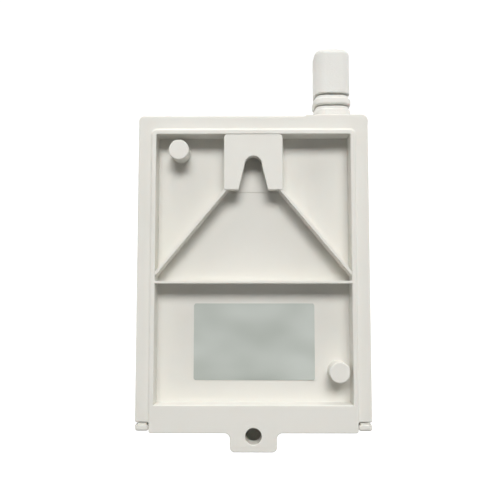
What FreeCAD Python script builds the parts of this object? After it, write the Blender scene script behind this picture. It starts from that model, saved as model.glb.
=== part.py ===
"""Wall-mounted wireless relay receiver with a stub antenna, in millimetres.

The origin is the centre of the screw tab's hole in the wall plane. +Z is up, the wall lies
towards +Y and the front of the case faces -Y. Depths are measured from the wall towards the
front, so a depth d lies at y = -d.
"""
import FreeCAD
import Part
import math
import os
from FreeCAD import Vector

# Case outline
case_half = 34.9
case_top = 95.6
case_wall = 1.8
front_wall = 2.0
case_corner = 1.5
front_edge_round = 2.5
cover_bottom = 3.75
parting_depth = 9.0
tongue_height = 1.2
tongue_width = 0.8
fit_clearance = 0.1
cover_gap = 0.3

# Small sizes that many pieces share
edge_round = 0.3
fine_round = 0.2
bite = 0.2
overshoot = 1.0
near_zero = 1e-6

# Pad that thickens the top round the antenna
pad_rise = 0.4
pad_reach = 9.43
pad_corner = 1.9

# Back: band, raised frame, recess
band_depth = 1.2
back_wall = 1.6
band_edge_round = 0.5
cove_radius = 0.85
rim_round = 0.3
band_side = 4.25
band_over = 4.6
frame_corner = 1.35
plate_bottom = 0.9
plate_corner = 0.6
plate_height = 8.0
side_rail = 1.35
top_rail = 1.4
recess_depth = 6.0
floor_wall = 1.5
recess_corner = 0.45
recess_rim_round = 0.2

# Screw tab
tab_half = 6.9
tab_drop = 4.55
tab_corner = 1.45
tab_root_round = 1.6
tab_thickness = 5.5
tab_hole_radius = 2.4
tab_hole_chamfer = 0.12

# Hanging hook
hook_half = 8.85
hook_height = 16.95
hook_plate = 2.6
hook_side = 1.25
hook_sink = 0.15
hook_corner = 1.1
hook_rim_round = 0.2
leg_corner = 0.45
slot_half = 2.6
slot_mouth_half = 4.45
slot_round_height = 6.7
slot_flare_rise = 7.6

# Ribs in the recess
rib_width = 0.8
cross_rib_z = 44.9
brace_foot_z = 46.6
brace_head_inset = 0.45
brace_sink = 0.35
step_groove = 0.12

# Case screws and their towers
top_tower_side = 6.8
top_tower_drop = 4.7
foot_tower_side = 3.9
foot_tower_rise = 9.45
tower_radius = 2.95
cap_radius = 3.05
cap_thickness = 1.3
cap_stem_length = 2.0
cap_chamfer = 0.3
screw_head_radius = 2.2
screw_head_length = 1.5
screw_head_round = 0.4
screw_point = 1.0
cross_reach = 0.6
cross_half = 0.35
screw_seat_wall = 1.9
screw_shank_radius = 1.25
screw_length = 13.0
screw_tip_room = 0.5
front_boss_radius = 3.2

# Label film
label_half = 18.35
label_centre_x = -0.25
label_bottom = 15.4
label_top = 38.5
label_thickness = 0.12
label_corner = 0.4

# Circuit board
board_side_gap = 4.6
board_top_gap = 5.8
board_gap = 2.0
board_thickness = 1.6
board_corner = 1.5
board_screw_side = 3.4
board_screw_high = 13.0
board_screw_low = 4.0
board_screw_middle_x = -10.0
board_screw_gap = 2.7
standoff_radius = 2.5
board_screw_radius = 1.1
board_screw_head = 2.1
board_screw_head_length = 1.4
board_screw_length = 5.0
board_slot_gap = 1.5
board_slot_half = 0.6
slot_reach = 0.67
slot_width = 0.6
slot_depth = 0.6

# Wiring cover, its window and its grooves
window_side = 14.5
window_height = 22.2
lip_bottom = 1.2
lip_thickness = 1.7
lip_corner = 0.75
lip_ear_depth = 1.25
seam_rib_step = 0.6
seam_rib_width = 1.0
seam_rib_end = 0.9
shroud_drop = 4.4
shroud_wall = 0.9
shroud_room = 4.4
shroud_corner = 1.3
flange_width = 1.9
flange_thickness = 1.3
groove_wall = 1.2
groove_slack = 0.1
partition_thickness = 1.5
partition_rise = 0.6
collar_wall = 1.3
pipe_collar_wall = 0.9
pipe_collar_length = 1.5
grip_groove_count = 5
grip_groove_pitch = 1.6
grip_groove_radius = 0.35
grip_groove_half = 7.0
grip_groove_z = 6.0

# Cables and their clamp
cable_x = 10.0
notch_radius = 4.0
notch_depth = 15.0
saddle_radius = 3.6
saddle_wall = 1.9
clamp_half = 19.2
clamp_width = 4.4
clamp_screw_x = (-17.2, 0.0, 17.2)
clamp_post_radius = 1.5
clamp_screw_radius = 0.9
clamp_screw_head = 1.5
clamp_screw_head_length = 1.2
clamp_screw_length = 7.0

# Terminal block
terminal_count = 5
terminal_pitch = 6.35
terminal_gap = 0.8
terminal_foot = 0.7
terminal_depth = 11.4
terminal_height = 13.0
terminal_step = 4.55
terminal_slope = 2.2
terminal_screw_radius = 1.8
terminal_hole_clearance = 0.2
terminal_screw_length = 6.0
terminal_screw_sink = 1.3
terminal_shank_radius = 1.1
terminal_head_length = 2.0
terminal_slot_depth = 0.9
wire_entry = 3.3
wire_entry_lift = 1.6

# Antenna
antenna_side = 9.27
antenna_depth = 16.0
stub_flat_half = 2.35
gasket_thickness = 0.8
gasket_reach = 3.25
gasket_round = 0.25
base_reach = 3.58
base_height = 4.1
base_round = 0.5
base_neck_reach = 3.0
base_neck_height = 0.9
thread_radius = 4.0
thread_top = 1.65
base_bore = 1.6
base_tail = 5.9
locknut_flats = 11.0
locknut_height = 2.4
nut_gap = 0.45
nut_reach = 3.72
nut_ring_height = 2.3
nut_ring_round = 0.65
nut_neck_reach = 2.95
nut_neck_height = 0.85
nut_lip = 1.25
nut_lip_bore = 3.0
foot_radius = 3.9
foot_thickness = 0.5
stem_radius = 2.8
cap_gap = 0.6
antenna_cap_reach = 3.37
antenna_cap_height = 14.85
antenna_cap_round = 1.85
antenna_cap_top_wall = 1.5
antenna_cap_room_round = 0.8
stem_grip = 3.9
coil_mean_radius = 3.0
coil_wire_radius = 0.45
coil_pitch = 1.45
coil_turns = 5
coil_room_clearance = 0.6
pin_radius = 0.5
pin_clearance = 0.05
pin_tail = 17.4
socket_radius = 1.1
socket_length = 11.0
socket_engagement = 3.0
socket_floor = 1.0

# Receiver board on its header
receiver_half = 7.0
receiver_side_cut = 0.6
receiver_top_gap = 4.8
receiver_height = 26.5
receiver_thickness = 1.0
receiver_corner = 0.5
header_half = 3.9
header_bottom = 1.3
header_height = 2.5
receiver_chip_rise = 8.0
receiver_chip_side = 5.0
receiver_chip_height = 1.0
crystal_rise = 15.0
crystal_half = 5.2
crystal_width = 4.6
crystal_height = 3.5
crystal_rim = 0.3
crystal_rim_height = 0.4
crystal_round = 0.5

# Learn button, its switch and the indicators
button_x = 14.0
indicator_drop = 17.6
button_radius = 3.0
button_rise = 0.6
button_travel = 0.5
button_flange_radius = 4.2
button_flange = 1.0
button_stem_radius = 1.6
button_round = 0.5
switch_side = 6.0
switch_height = 3.5
plunger_radius = 1.7
plunger_rise = 1.4
plunger_well = 1.0
led_places = (-2.0, 5.0)
led_length = 3.2
led_width = 2.6
led_height = 1.5
led_base_share = 0.6
led_lens_share = 0.35
pipe_radius = 1.5
pipe_head_radius = 2.0
pipe_head_length = 0.8
pipe_gap = 0.4
panel_low_x = -8.0
panel_high_x = 20.0
panel_half_height = 6.0
panel_sink = 0.4
panel_corner = 2.0

# Power parts on the board
relay_size = (29.0, 12.7, 15.6)
relay_gap = 1.75
relay_foot = 0.3
relay_foot_radius = 0.8
relay_foot_inset = 1.2
relay_round = 0.6
relay_front_gap = 1.0
fuse_radius = 4.2
fuse_height = 7.7
fuse_gap = 0.6
fuse_side = 5.0
fuse_skirt = 0.2
varistor_radius = 5.0
varistor_thickness = 4.0
varistor_lift = 1.2
varistor_round = 1.2
varistor_side = 5.2
varistor_rise = 5.9
film_size = (10.0, 6.0, 12.0)
film_side = 5.2
bridge_size = (8.5, 6.4, 3.2)
bridge_side = 5.5
bridge_rise = 6.8
bulk_radius = 5.0
bulk_height = 13.5
bulk_side = 5.6
bulk_rise = 16.9
core_size = (14.0, 12.4, 9.6)
core_leg = 2.6
core_bar = 2.0
transformer_base_height = 1.0
transformer_rise = 16.0
coil_end_gap = 0.3
bobbin_flange = 0.6
winding_sink = 0.4
output_radius = 4.0
output_height = 11.5
output_x = -13.8
output_rise = 18.0
can_bead_height = 1.9
can_bead_half = 0.5
can_bead_depth = 0.35
can_score_depth = 0.25
can_score_half = 0.2
can_round = 0.6
leg_pitch = 1.27
leg_half = 0.2
leg_reach = 1.0
leg_height = 0.6
chip_lift = 0.2
chip_size = (5.0, 4.0, 1.5)
chip_legs = 4
chip_x = 11.6
chip_rise = 24.9
controller_size = (10.0, 4.0, 1.5)
controller_legs = 7
controller_x = -3.0
controller_rise = 27.0
diode_radius = 1.35
diode_length = 5.2
diode_lead = 1.2
diode_side = 4.3
diode_rise = 14.5
transistor_radius = 2.3
transistor_flat = 1.2
transistor_height = 4.6
transistor_lift = 2.0
transistor_x = -14.0
transistor_rise = 24.4
lead_radius = 0.3
soft_edge = 0.4

# Case and recess, from the sizes above
frame_half = case_half - band_side
frame_top = case_top - band_over
recess_half = frame_half - side_rail
recess_top = frame_top - top_rail
recess_bottom = plate_bottom + plate_height
floor_depth = recess_depth + floor_wall
inner_half = case_half - case_wall
inner_top = case_top - case_wall
board_back = floor_depth + board_gap
board_face = board_back + board_thickness
relay_top = board_face + relay_foot + relay_size[2]
front_inner = relay_top + relay_front_gap
case_depth = front_inner + front_wall
lip_top = lip_bottom + lip_thickness
side_bottom = lip_top + cover_gap
window_half = inner_half - window_side
window_top = side_bottom + window_height
partition_z = window_top + partition_rise
partition_top = partition_z + partition_thickness
hook_bottom = recess_top - hook_height
slot_round_z = recess_top - slot_round_height
tower_places = ((recess_half - top_tower_side, recess_top - top_tower_drop),
                (foot_tower_side - recess_half, recess_bottom + foot_tower_rise))
tab_front = tab_thickness + cover_gap
shroud_half = cable_x - notch_radius - cover_gap
shroud_front = tab_front + shroud_room
clamp_seat = notch_depth
clamp_z = recess_bottom - clamp_post_radius - cover_gap
clamp_bottom = clamp_z - clamp_width / 2

# Antenna and receiver board
antenna_x = antenna_side - case_half
pad_edge_x = antenna_x + pad_reach
pad_top = case_top + pad_rise
base_seat = pad_top + gasket_thickness
base_top = base_seat + base_height
neck_top = base_top + base_neck_height
nut_bottom = neck_top + nut_gap
nut_ring_top = nut_bottom + nut_ring_height
nut_top = nut_ring_top + nut_neck_height
nut_lip_bottom = nut_top - nut_lip
foot_bottom = neck_top + thread_top + fit_clearance
cap_bottom = nut_top + cap_gap
antenna_top = cap_bottom + antenna_cap_height
stem_top = cap_bottom + stem_grip
receiver_face = antenna_depth - socket_radius
receiver_back = receiver_face - receiver_thickness
receiver_bottom = inner_top - receiver_top_gap - receiver_height
socket_top = stem_top - pin_tail - pin_radius + socket_engagement

# Board and the places (x, z) of what it carries
terminal_z = window_top - terminal_gap - terminal_depth
board_half = inner_half - board_side_gap
board_bottom = terminal_z - terminal_foot
board_top = inner_top - board_top_gap
board_screw_x = board_half - board_screw_side
board_screw_places = ((board_screw_x, board_top - board_screw_high),
                      (board_screw_x, board_bottom + board_screw_low),
                      (-board_screw_x, partition_top + board_screw_gap),
                      (board_screw_middle_x, board_top - board_screw_low))
indicator_z = case_top - indicator_drop
plunger_tip = board_face + switch_height + plunger_rise
relay_z = partition_top + relay_gap + relay_size[1] / 2
relay_place = (0.0, relay_z)
fuse_place = (board_half - fuse_side, partition_top + fuse_gap + fuse_radius)
varistor_place = (board_half - varistor_side, relay_z + varistor_rise)
film_place = (film_side - board_half, relay_z)
bridge_place = (bridge_side - board_half, relay_z + bridge_rise)
bulk_place = (board_half - bulk_side, relay_z + bulk_rise)
transformer_place = (0.0, relay_z + transformer_rise)
output_place = (output_x, relay_z + output_rise)
chip_place = (chip_x, relay_z + chip_rise)
controller_place = (controller_x, relay_z + controller_rise)
diode_place = (diode_side - board_half, relay_z + diode_rise)
transistor_place = (transistor_x, relay_z + transistor_rise)


def to_front(across, up, depth):
    """Point of a vertical outline that faces the wall, at a depth from it."""
    return Vector(across, -depth, up)


def to_floor(across, depth, height):
    """Point of a level outline, at a height."""
    return Vector(across, -depth, height)


def arc_middle(start, corner, end, radius):
    """Middle point of the arc that rounds a corner between two tangent points."""
    inward = (start - corner).normalize() + (end - corner).normalize()
    inward.normalize()
    to_centre = math.sqrt((start - corner).Length ** 2 + radius ** 2)
    return corner + inward * (to_centre - radius)


def outline(corners, place, level):
    """Closed wire through corners (u, v, radius), each rounded by its own arc."""
    points = [place(u, v, level) for u, v, _ in corners]
    count = len(points)
    spans = []
    for i in range(count):
        radius = corners[i][2]
        before = (points[i - 1] - points[i]).normalize()
        after = (points[(i + 1) % count] - points[i]).normalize()
        half_angle = before.getAngle(after) / 2
        reach = radius / math.tan(half_angle) if radius else 0
        spans.append((points[i] + before * reach, points[i], points[i] + after * reach, radius))
    edges = []
    for i in range(count):
        start, corner, end, radius = spans[i]
        if radius:
            middle = arc_middle(start, corner, end, radius)
            edges.append(Part.Arc(start, middle, end).toShape())
        following = spans[(i + 1) % count][0]
        if (following - end).Length > near_zero:
            edges.append(Part.LineSegment(end, following).toShape())
    return Part.Wire(edges)


def plate(corners, depth_low, depth_high):
    """Solid between two depths, with an outline in width and height."""
    face = Part.Face(outline(corners, to_front, depth_low))
    return face.extrude(Vector(0, depth_low - depth_high, 0))


def slab(corners, z_low, z_high):
    """Solid between two heights, with an outline in width and depth."""
    face = Part.Face(outline(corners, to_floor, z_low))
    return face.extrude(Vector(0, 0, z_high - z_low))


def block(x_low, x_high, depth_low, depth_high, z_low, z_high):
    """Plain block between two widths, two depths and two heights."""
    size = (x_high - x_low, depth_high - depth_low, z_high - z_low)
    return Part.makeBox(*size, Vector(x_low, -depth_high, z_low))


def rectangle(x_low, x_high, z_low, z_high, radius):
    """Corners of a rectangle, all rounded alike."""
    return [(x_low, z_low, radius), (x_high, z_low, radius), (x_high, z_high, radius),
            (x_low, z_high, radius)]


def post(place, radius, depth_low, depth_high):
    """Cylinder that stands towards the front at (x, z)."""
    start = to_front(place[0], place[1], depth_low)
    return Part.makeCylinder(radius, depth_high - depth_low, start, Vector(0, -1, 0))


def turned_forward(profile, place):
    """Solid of revolution about a front-to-back axis; corners are (radius, depth, round)."""
    corners = [(place[0] + radius, depth, rounding) for radius, depth, rounding in profile]
    face = Part.Face(outline(corners, to_floor, place[1]))
    return face.revolve(to_front(place[0], place[1], 0), Vector(0, 1, 0), 360)


def turned_upright(profile):
    """Solid of revolution about the antenna's axis; corners are (radius, z, round)."""
    corners = [(antenna_x + radius, z, rounding) for radius, z, rounding in profile]
    face = Part.Face(outline(corners, to_front, antenna_depth))
    return face.revolve(to_front(antenna_x, 0, antenna_depth), Vector(0, 0, 1), 360)


def stub_section(reach, z_low, z_high):
    """Section of the stub: a small square that is offset outwards by a reach."""
    half = stub_flat_half + reach
    corners = rectangle(antenna_x - half, antenna_x + half, antenna_depth - half,
                        antenna_depth + half, reach)
    return slab(corners, z_low, z_high)


def rim_at(shape, z):
    """Edges of a shape that lie at a height."""
    return edges_at(shape, lambda box: abs(box.ZMin - z) < near_zero
                    and abs(box.ZMax - z) < near_zero)


def joined(shapes):
    """One solid fused from several, with its seams cleaned."""
    return shapes[0].fuse(shapes[1:]).removeSplitter()


def edges_at(shape, test):
    """Edges of a shape whose bounding box passes a test."""
    return [edge for edge in shape.Edges if test(edge.BoundBox)]


def rounded_box(size, place, foot, rounding):
    """Component body of (width, height, depth) on the board, with softened front edges."""
    half_x = size[0] / 2
    half_z = size[1] / 2
    x, z = place
    body = block(x - half_x, x + half_x, foot, foot + size[2], z - half_z, z + half_z)
    soft = edges_at(body, lambda box: box.YMin < -foot - near_zero)
    return body.makeFillet(rounding, soft)


def case_corners(low):
    """Outer outline of both covers."""
    return [(-case_half, low, band_edge_round), (case_half, low, band_edge_round),
            (case_half, case_top, case_corner), (-case_half, case_top, case_corner)]


def top_pad(depth_low, depth_high, round_back):
    """Raised pad on the antenna's side of the top, softened along its back or front edge."""
    root = case_top - pad_corner
    pad = plate([(-case_half, root, 0), (pad_edge_x + pad_rise, root, 0),
                 (pad_edge_x + pad_rise, case_top, 0), (pad_edge_x, pad_top, pad_rise / 4),
                 (-case_half, pad_top, pad_corner)], depth_low, depth_high)
    level = -depth_low if round_back else -depth_high
    rim = edges_at(pad, lambda box: abs(box.YMin - level) < near_zero
                   and box.YLength < near_zero and box.ZMax > case_top + pad_rise / 2)
    return pad.makeFillet(pad_rise * 0.8, rim)


def inner_corners(low, inset):
    """Outline inside the covers' walls."""
    half = inner_half - inset
    return rectangle(-half, half, low, inner_top - inset, case_corner / 2)


def recess_corners():
    """Outline of the recess in the back, square at its foot."""
    return [(-recess_half, recess_bottom, 0), (recess_half, recess_bottom, 0),
            (recess_half, recess_top, recess_corner), (-recess_half, recess_top, recess_corner)]


def frame_corners():
    """Raised frame, its broad foot plate and the screw tab in one outline."""
    return [(-frame_half, plate_bottom, plate_corner), (-tab_half, plate_bottom, tab_root_round),
            (-tab_half, -tab_drop, tab_corner), (tab_half, -tab_drop, tab_corner),
            (tab_half, plate_bottom, tab_root_round), (frame_half, plate_bottom, plate_corner),
            (frame_half, frame_top, frame_corner), (-frame_half, frame_top, frame_corner)]


def hook_corners():
    """Outline of the hook plate with its round-topped slot that flares to the mouth."""
    flare_z = hook_bottom + slot_flare_rise
    slot = [(slot_mouth_half, hook_bottom, leg_corner), (slot_half, flare_z, 0),
            (slot_half, slot_round_z, slot_half), (-slot_half, slot_round_z, slot_half),
            (-slot_half, flare_z, 0), (-slot_mouth_half, hook_bottom, leg_corner)]
    rim = [(-hook_half, hook_bottom, leg_corner / 2), (-hook_half, recess_top, hook_corner),
           (hook_half, recess_top, hook_corner), (hook_half, hook_bottom, leg_corner / 2)]
    return rim + slot


def brace(side):
    """Slanted rib from a leg of the hook to the recess's side wall."""
    head = Vector(side * (hook_half - brace_head_inset), 0, hook_bottom)
    foot = Vector(side * (recess_half + side_rail / 2), 0, brace_foot_z)
    along = (foot - head).normalize()
    across = Vector(-along.z, 0, along.x) * (rib_width / 2)
    start = head - along * rib_width
    ring = [start + across, foot + across, foot - across, start - across]
    wire = Part.makePolygon(ring + ring[:1])
    wire.translate(Vector(0, -brace_sink, 0))
    return Part.Face(wire).extrude(Vector(0, brace_sink - recess_depth - floor_wall / 2, 0))


def hook():
    """Hook plate on its two side walls, which are open at the bottom."""
    face = plate(hook_corners(), hook_sink, hook_plate)
    rim = edges_at(face, lambda box: box.YMin > -hook_sink - near_zero)
    parts = [face.makeFillet(hook_rim_round, rim)]
    root = hook_half - hook_corner
    parts.append(block(-root, root, hook_sink + hook_rim_round, hook_plate, recess_top - bite,
                       recess_top + top_rail / 2))
    for side in (-1, 1):
        edges = sorted((side * (hook_half - bite), side * (hook_half - hook_side)))
        behind = (hook_plate, recess_depth + floor_wall / 2)
        heights = (hook_bottom + bite, recess_top + top_rail / 2)
        parts.append(block(*edges, *behind, *heights))
    return parts


def case_tower(place):
    """Round tower in the recess round a case screw."""
    return post(place, tower_radius, cap_thickness, floor_depth)


def screw_seat_depth():
    """Depth of the face that a case screw's head rests on."""
    return floor_depth - screw_seat_wall


def back_shell():
    """Dish of the rear cover with its band, coved up to the raised frame."""
    skin = plate(case_corners(cover_bottom), band_depth, parting_depth)
    rim = edges_at(skin, lambda box: box.YMin > -band_depth - near_zero)
    skin = skin.makeFillet(band_edge_round, rim)
    skin = skin.fuse(top_pad(band_depth, parting_depth, True))
    frame = plate(frame_corners(), 0, tab_thickness)
    deep = plate(rectangle(-frame_half, frame_half, recess_bottom - floor_wall, frame_top,
                           frame_corner), 0, floor_depth)
    solid = joined([skin, frame, deep])
    wide = frame_half + fit_clearance
    foot = edges_at(solid, lambda box: box.YMin > -band_depth - near_zero
                    and box.YMax < -band_depth + near_zero and box.XMin > -wide
                    and box.XMax < wide and box.ZMax < frame_top + fit_clearance)
    solid = solid.makeFillet(cove_radius, foot)
    rim = edges_at(solid, lambda box: box.YMin > -near_zero)
    solid = solid.makeFillet(rim_round, rim)
    hollow = plate(inner_corners(cover_bottom + back_wall, 0), band_depth + back_wall,
                   parting_depth + overshoot)
    return solid.cut(hollow.cut(frame.fuse(deep)))


def rear_tongue():
    """Thin rim that locates the front cover on the rear cover."""
    low = window_top + cover_gap
    ring = plate(inner_corners(cover_bottom + back_wall, -tongue_width),
                 parting_depth - tongue_height, parting_depth + tongue_height)
    ring = ring.cut(plate(inner_corners(cover_bottom + back_wall, 0), 0, case_depth))
    return ring.cut(block(-case_half, case_half, 0, case_depth, -case_half, low))


def rear_cover():
    """Moulded back with recess, hook, ribs, towers, tab, tongue, standoffs and cable posts."""
    shell = back_shell().cut(plate(recess_corners(), -overshoot, recess_depth))
    wide = recess_half + fit_clearance
    rim = edges_at(shell, lambda box: box.YMin > -near_zero and box.XMin > -wide
                   and box.XMax < wide and box.ZMin > recess_bottom - fit_clearance)
    shell = shell.makeFillet(recess_rim_round, rim)
    root = recess_half + side_rail / 2
    deep = recess_depth + floor_wall / 2
    cross = block(-root, root, 0, deep, cross_rib_z - rib_width / 2, cross_rib_z + rib_width / 2)
    parts = [shell, cross, brace(-1), brace(1), rear_tongue()] + hook()
    parts += [case_tower(place) for place in tower_places]
    parts += [post(place, standoff_radius, recess_depth + floor_wall / 2, board_back)
              for place in board_screw_places]
    parts += [post((x, clamp_z), clamp_post_radius, tab_thickness / 2, clamp_seat)
              for x in clamp_screw_x]
    solid = joined(parts)
    inside = hook_half - hook_side
    solid = solid.cut(block(-inside, inside, recess_depth - bite, recess_depth + step_groove,
                            hook_bottom - step_groove / 2, hook_bottom + step_groove / 2))
    for place in tower_places:
        solid = solid.cut(post(place, screw_head_radius + fit_clearance, 0, screw_seat_depth()))
        solid = solid.cut(post(place, screw_shank_radius + cover_gap, 0,
                               floor_depth + overshoot))
    for place in board_screw_places:
        tip = board_face - board_screw_length
        solid = solid.cut(post(place, board_screw_radius + fit_clearance / 2, tip, case_depth))
    for x in clamp_screw_x:
        tip = clamp_seat + saddle_wall - clamp_screw_length
        hole = clamp_screw_radius + fit_clearance / 2
        solid = solid.cut(post((x, clamp_z), hole, tip, case_depth))
    rim = tab_hole_radius + tab_hole_chamfer
    back = tab_thickness + overshoot
    hole = turned_forward([(0, -overshoot, 0), (rim, -overshoot, 0), (rim, 0, 0),
                           (tab_hole_radius, tab_hole_chamfer, 0), (tab_hole_radius, back, 0),
                           (0, back, 0)], (0, 0))
    return solid.cut(hole)


def screw_cap(place):
    """Press-in cap that closes a tower flush with the frame."""
    stem = screw_head_radius
    end = cap_thickness + cap_stem_length
    return turned_forward([(0, 0, 0), (cap_radius, 0, cap_chamfer),
                           (cap_radius, cap_thickness, 0), (stem, cap_thickness, 0),
                           (stem, end, cap_chamfer), (0, end, 0)], place)


def case_screw(place):
    """Screw from the back of a tower into the front cover's boss."""
    seat = screw_seat_depth()
    top = seat - screw_head_length
    tip = seat + screw_length
    screw = turned_forward([(0, top, 0), (screw_head_radius, top, screw_head_round),
                            (screw_head_radius, seat, 0), (screw_shank_radius, seat, 0),
                            (screw_shank_radius, tip - screw_point, 0), (0, tip, 0)], place)
    arm = screw_head_radius * cross_reach
    high = top - overshoot
    deep = top + screw_head_length / 2
    x, z = place
    slots = [block(x - arm, x + arm, high, deep, z - cross_half, z + cross_half),
             block(x - cross_half, x + cross_half, high, deep, z - arm, z + arm)]
    return screw.cut(slots)


def pan_screw(place, radius, head_radius, seat, head_length, length):
    """Slotted pan-head screw that is driven from the front."""
    top = seat + head_length
    tip = seat - length + fit_clearance
    screw = turned_forward([(0, tip, 0), (radius, tip + radius / 2, 0), (radius, seat, 0),
                            (head_radius, seat, 0), (head_radius, top, screw_head_round),
                            (0, top, 0)], place)
    x, z = place
    arm = head_radius * slot_reach
    return screw.cut(block(x - arm, x + arm, top - slot_depth, top + overshoot,
                           z - slot_width / 2, z + slot_width / 2))


def board_screw(place):
    """Pan-head screw that holds the board on a standoff."""
    return pan_screw(place, board_screw_radius, board_screw_head, board_face,
                     board_screw_head_length, board_screw_length)


def front_shell():
    """Front cover's skin, hollow behind its rounded front edges."""
    skin = plate(case_corners(side_bottom), parting_depth, case_depth)
    rim = edges_at(skin, lambda box: box.YMax < -case_depth + near_zero
                   and box.ZMax > side_bottom + band_edge_round + near_zero)
    skin = skin.makeFillet(front_edge_round, rim)
    pad_end = case_depth - front_edge_round
    skin = skin.fuse(top_pad(parting_depth, pad_end, False))
    hollow = plate(inner_corners(side_bottom - case_wall - overshoot, 0), 0, front_inner)
    rebate = plate(inner_corners(window_top, -tongue_width - fit_clearance), 0,
                   parting_depth + tongue_height + fit_clearance)
    return skin.cut([hollow, rebate])


def groove_bracket(side):
    """Angle bracket that guides one edge of the wiring cover."""
    outer = window_half + flange_width + cover_gap + groove_wall
    reach = window_half + 2 * cover_gap
    back = front_inner - flange_thickness - 2 * cover_gap
    low = back - groove_wall
    root = front_inner + bite
    corners = [(side * reach, low, 0), (side * reach, back, 0),
               (side * (outer - groove_wall), back, 0),
               (side * (outer - groove_wall), root, 0),
               (side * outer, root, 0), (side * outer, low, edge_round)]
    return slab(corners, side_bottom, window_top)


def front_cover():
    """Front shell with the wiring window, grooves, partition, bosses and indicator panel."""
    parts = [front_shell(), groove_bracket(-1), groove_bracket(1)]
    root = front_inner + bite
    wide = inner_half + bite
    parts.append(block(-wide, wide, board_face + cover_gap, root, partition_z, partition_top))
    parts += [post(place, front_boss_radius, floor_depth, root) for place in tower_places]
    button_place = (button_x, indicator_z)
    collar = front_inner - button_travel - button_flange - cover_gap
    parts.append(post(button_place, button_flange_radius + collar_wall, collar, root))
    parts += [post((x, indicator_z), pipe_head_radius + pipe_collar_wall,
                   front_inner - pipe_collar_length, root) for x in led_places]
    solid = joined(parts)
    beyond = case_depth + overshoot
    cuts = [block(-window_half, window_half, front_inner, beyond, side_bottom - overshoot,
                  window_top),
            plate(rectangle(panel_low_x, panel_high_x, indicator_z - panel_half_height,
                            indicator_z + panel_half_height, panel_corner),
                  case_depth - panel_sink, beyond),
            post(button_place, button_radius + cover_gap / 2, 0, beyond),
            post(button_place, button_flange_radius + cover_gap / 2, 0, front_inner),
            Part.makeCylinder(thread_radius + fit_clearance, pad_top - inner_top + 2 * bite,
                              to_front(antenna_x, inner_top - bite, antenna_depth))]
    for x in led_places:
        cuts.append(post((x, indicator_z), pipe_radius + fit_clearance, 0, beyond))
        cuts.append(post((x, indicator_z), pipe_head_radius + fit_clearance, 0, front_inner))
    for place in tower_places:
        tip = screw_seat_depth() + screw_length + screw_tip_room
        cuts.append(post(place, screw_shank_radius + fit_clearance / 2, 0, tip))
    for cut in cuts:
        solid = solid.cut(cut)
    return solid


def lip_corners():
    """Level outline of the wiring cover's bottom plate, cut back behind the screw tab."""
    inner = frame_half + cover_gap
    back = tab_front
    return [(-case_half, case_depth, front_edge_round), (case_half, case_depth, front_edge_round),
            (case_half, lip_ear_depth, lip_corner), (inner, lip_ear_depth, edge_round),
            (inner, back, edge_round), (-inner, back, edge_round),
            (-inner, lip_ear_depth, edge_round),
            (-case_half, lip_ear_depth, lip_corner)]


def wiring_lip():
    """Bottom plate, rounded under its front and its ends, with a rib behind each seam."""
    lip = slab(lip_corners(), lip_bottom, lip_top)
    front = -case_depth + front_edge_round + fit_clearance
    under = edges_at(lip, lambda box: box.ZMax < lip_bottom + near_zero
                     and box.YMin < -lip_ear_depth - lip_thickness)
    rim = [edge for edge in under if edge.BoundBox.YMax < front
           or abs(edge.BoundBox.XMin) > case_half - fit_clearance
           and edge.BoundBox.XLength < fit_clearance]
    lip = lip.makeFillet(lip_corner, rim)
    back = lip_ear_depth + seam_rib_step
    ribs = [block(*sorted((side * (frame_half + cove_radius), side * (case_half - seam_rib_end))),
                  back, back + seam_rib_width, lip_top - bite, cover_bottom - fit_clearance)
            for side in (-1, 1)]
    return joined([lip] + ribs)


def shroud_corners(inset, top):
    """Outline of the shroud in front of the screw tab, open at its top."""
    half = shroud_half - inset
    low = inset - shroud_drop
    return [(-half, low, shroud_corner - inset), (half, low, shroud_corner - inset),
            (half, top, 0), (-half, top, 0)]


def screw_shroud():
    """Small cup under the bottom plate that hides the head of the wall screw."""
    cup = plate(shroud_corners(0, lip_top), tab_front, shroud_front + shroud_wall)
    rim = edges_at(cup, lambda box: box.YMax < -shroud_front - shroud_wall + near_zero
                   and box.ZMin < lip_bottom)
    return cup.makeFillet(edge_round, rim)


def wiring_cover():
    """Sliding cover: bottom plate with two cable notches and a flanged front plate."""
    half = window_half - cover_gap
    flange_half = window_half + flange_width
    low = lip_bottom + lip_corner
    top = window_top - cover_gap
    flange_face = front_inner - cover_gap
    face = block(-half, half, front_inner, case_depth, low, top)
    flange = block(-flange_half, flange_half, flange_face - flange_thickness, flange_face, low, top)
    web = block(-half, half, flange_face - groove_slack, front_inner + groove_slack, low, top)
    solid = joined([wiring_lip(), face, flange, web, screw_shroud()])
    solid = solid.cut(plate(shroud_corners(shroud_wall, lip_top + overshoot), 0, shroud_front))
    under = lip_bottom - bite
    deep = lip_thickness + 2 * bite
    for side in (-1, 1):
        x = side * cable_x
        solid = solid.cut(block(x - notch_radius, x + notch_radius, 0, notch_depth, under,
                                under + deep))
        solid = solid.cut(Part.makeCylinder(notch_radius, deep, to_front(x, under, notch_depth)))
    for step in range(grip_groove_count):
        z = grip_groove_z + step * grip_groove_pitch
        start = to_front(-grip_groove_half, z, case_depth)
        length = 2 * grip_groove_half
        solid = solid.cut(Part.makeCylinder(grip_groove_radius, length, start, Vector(1, 0, 0)))
    return solid


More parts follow.
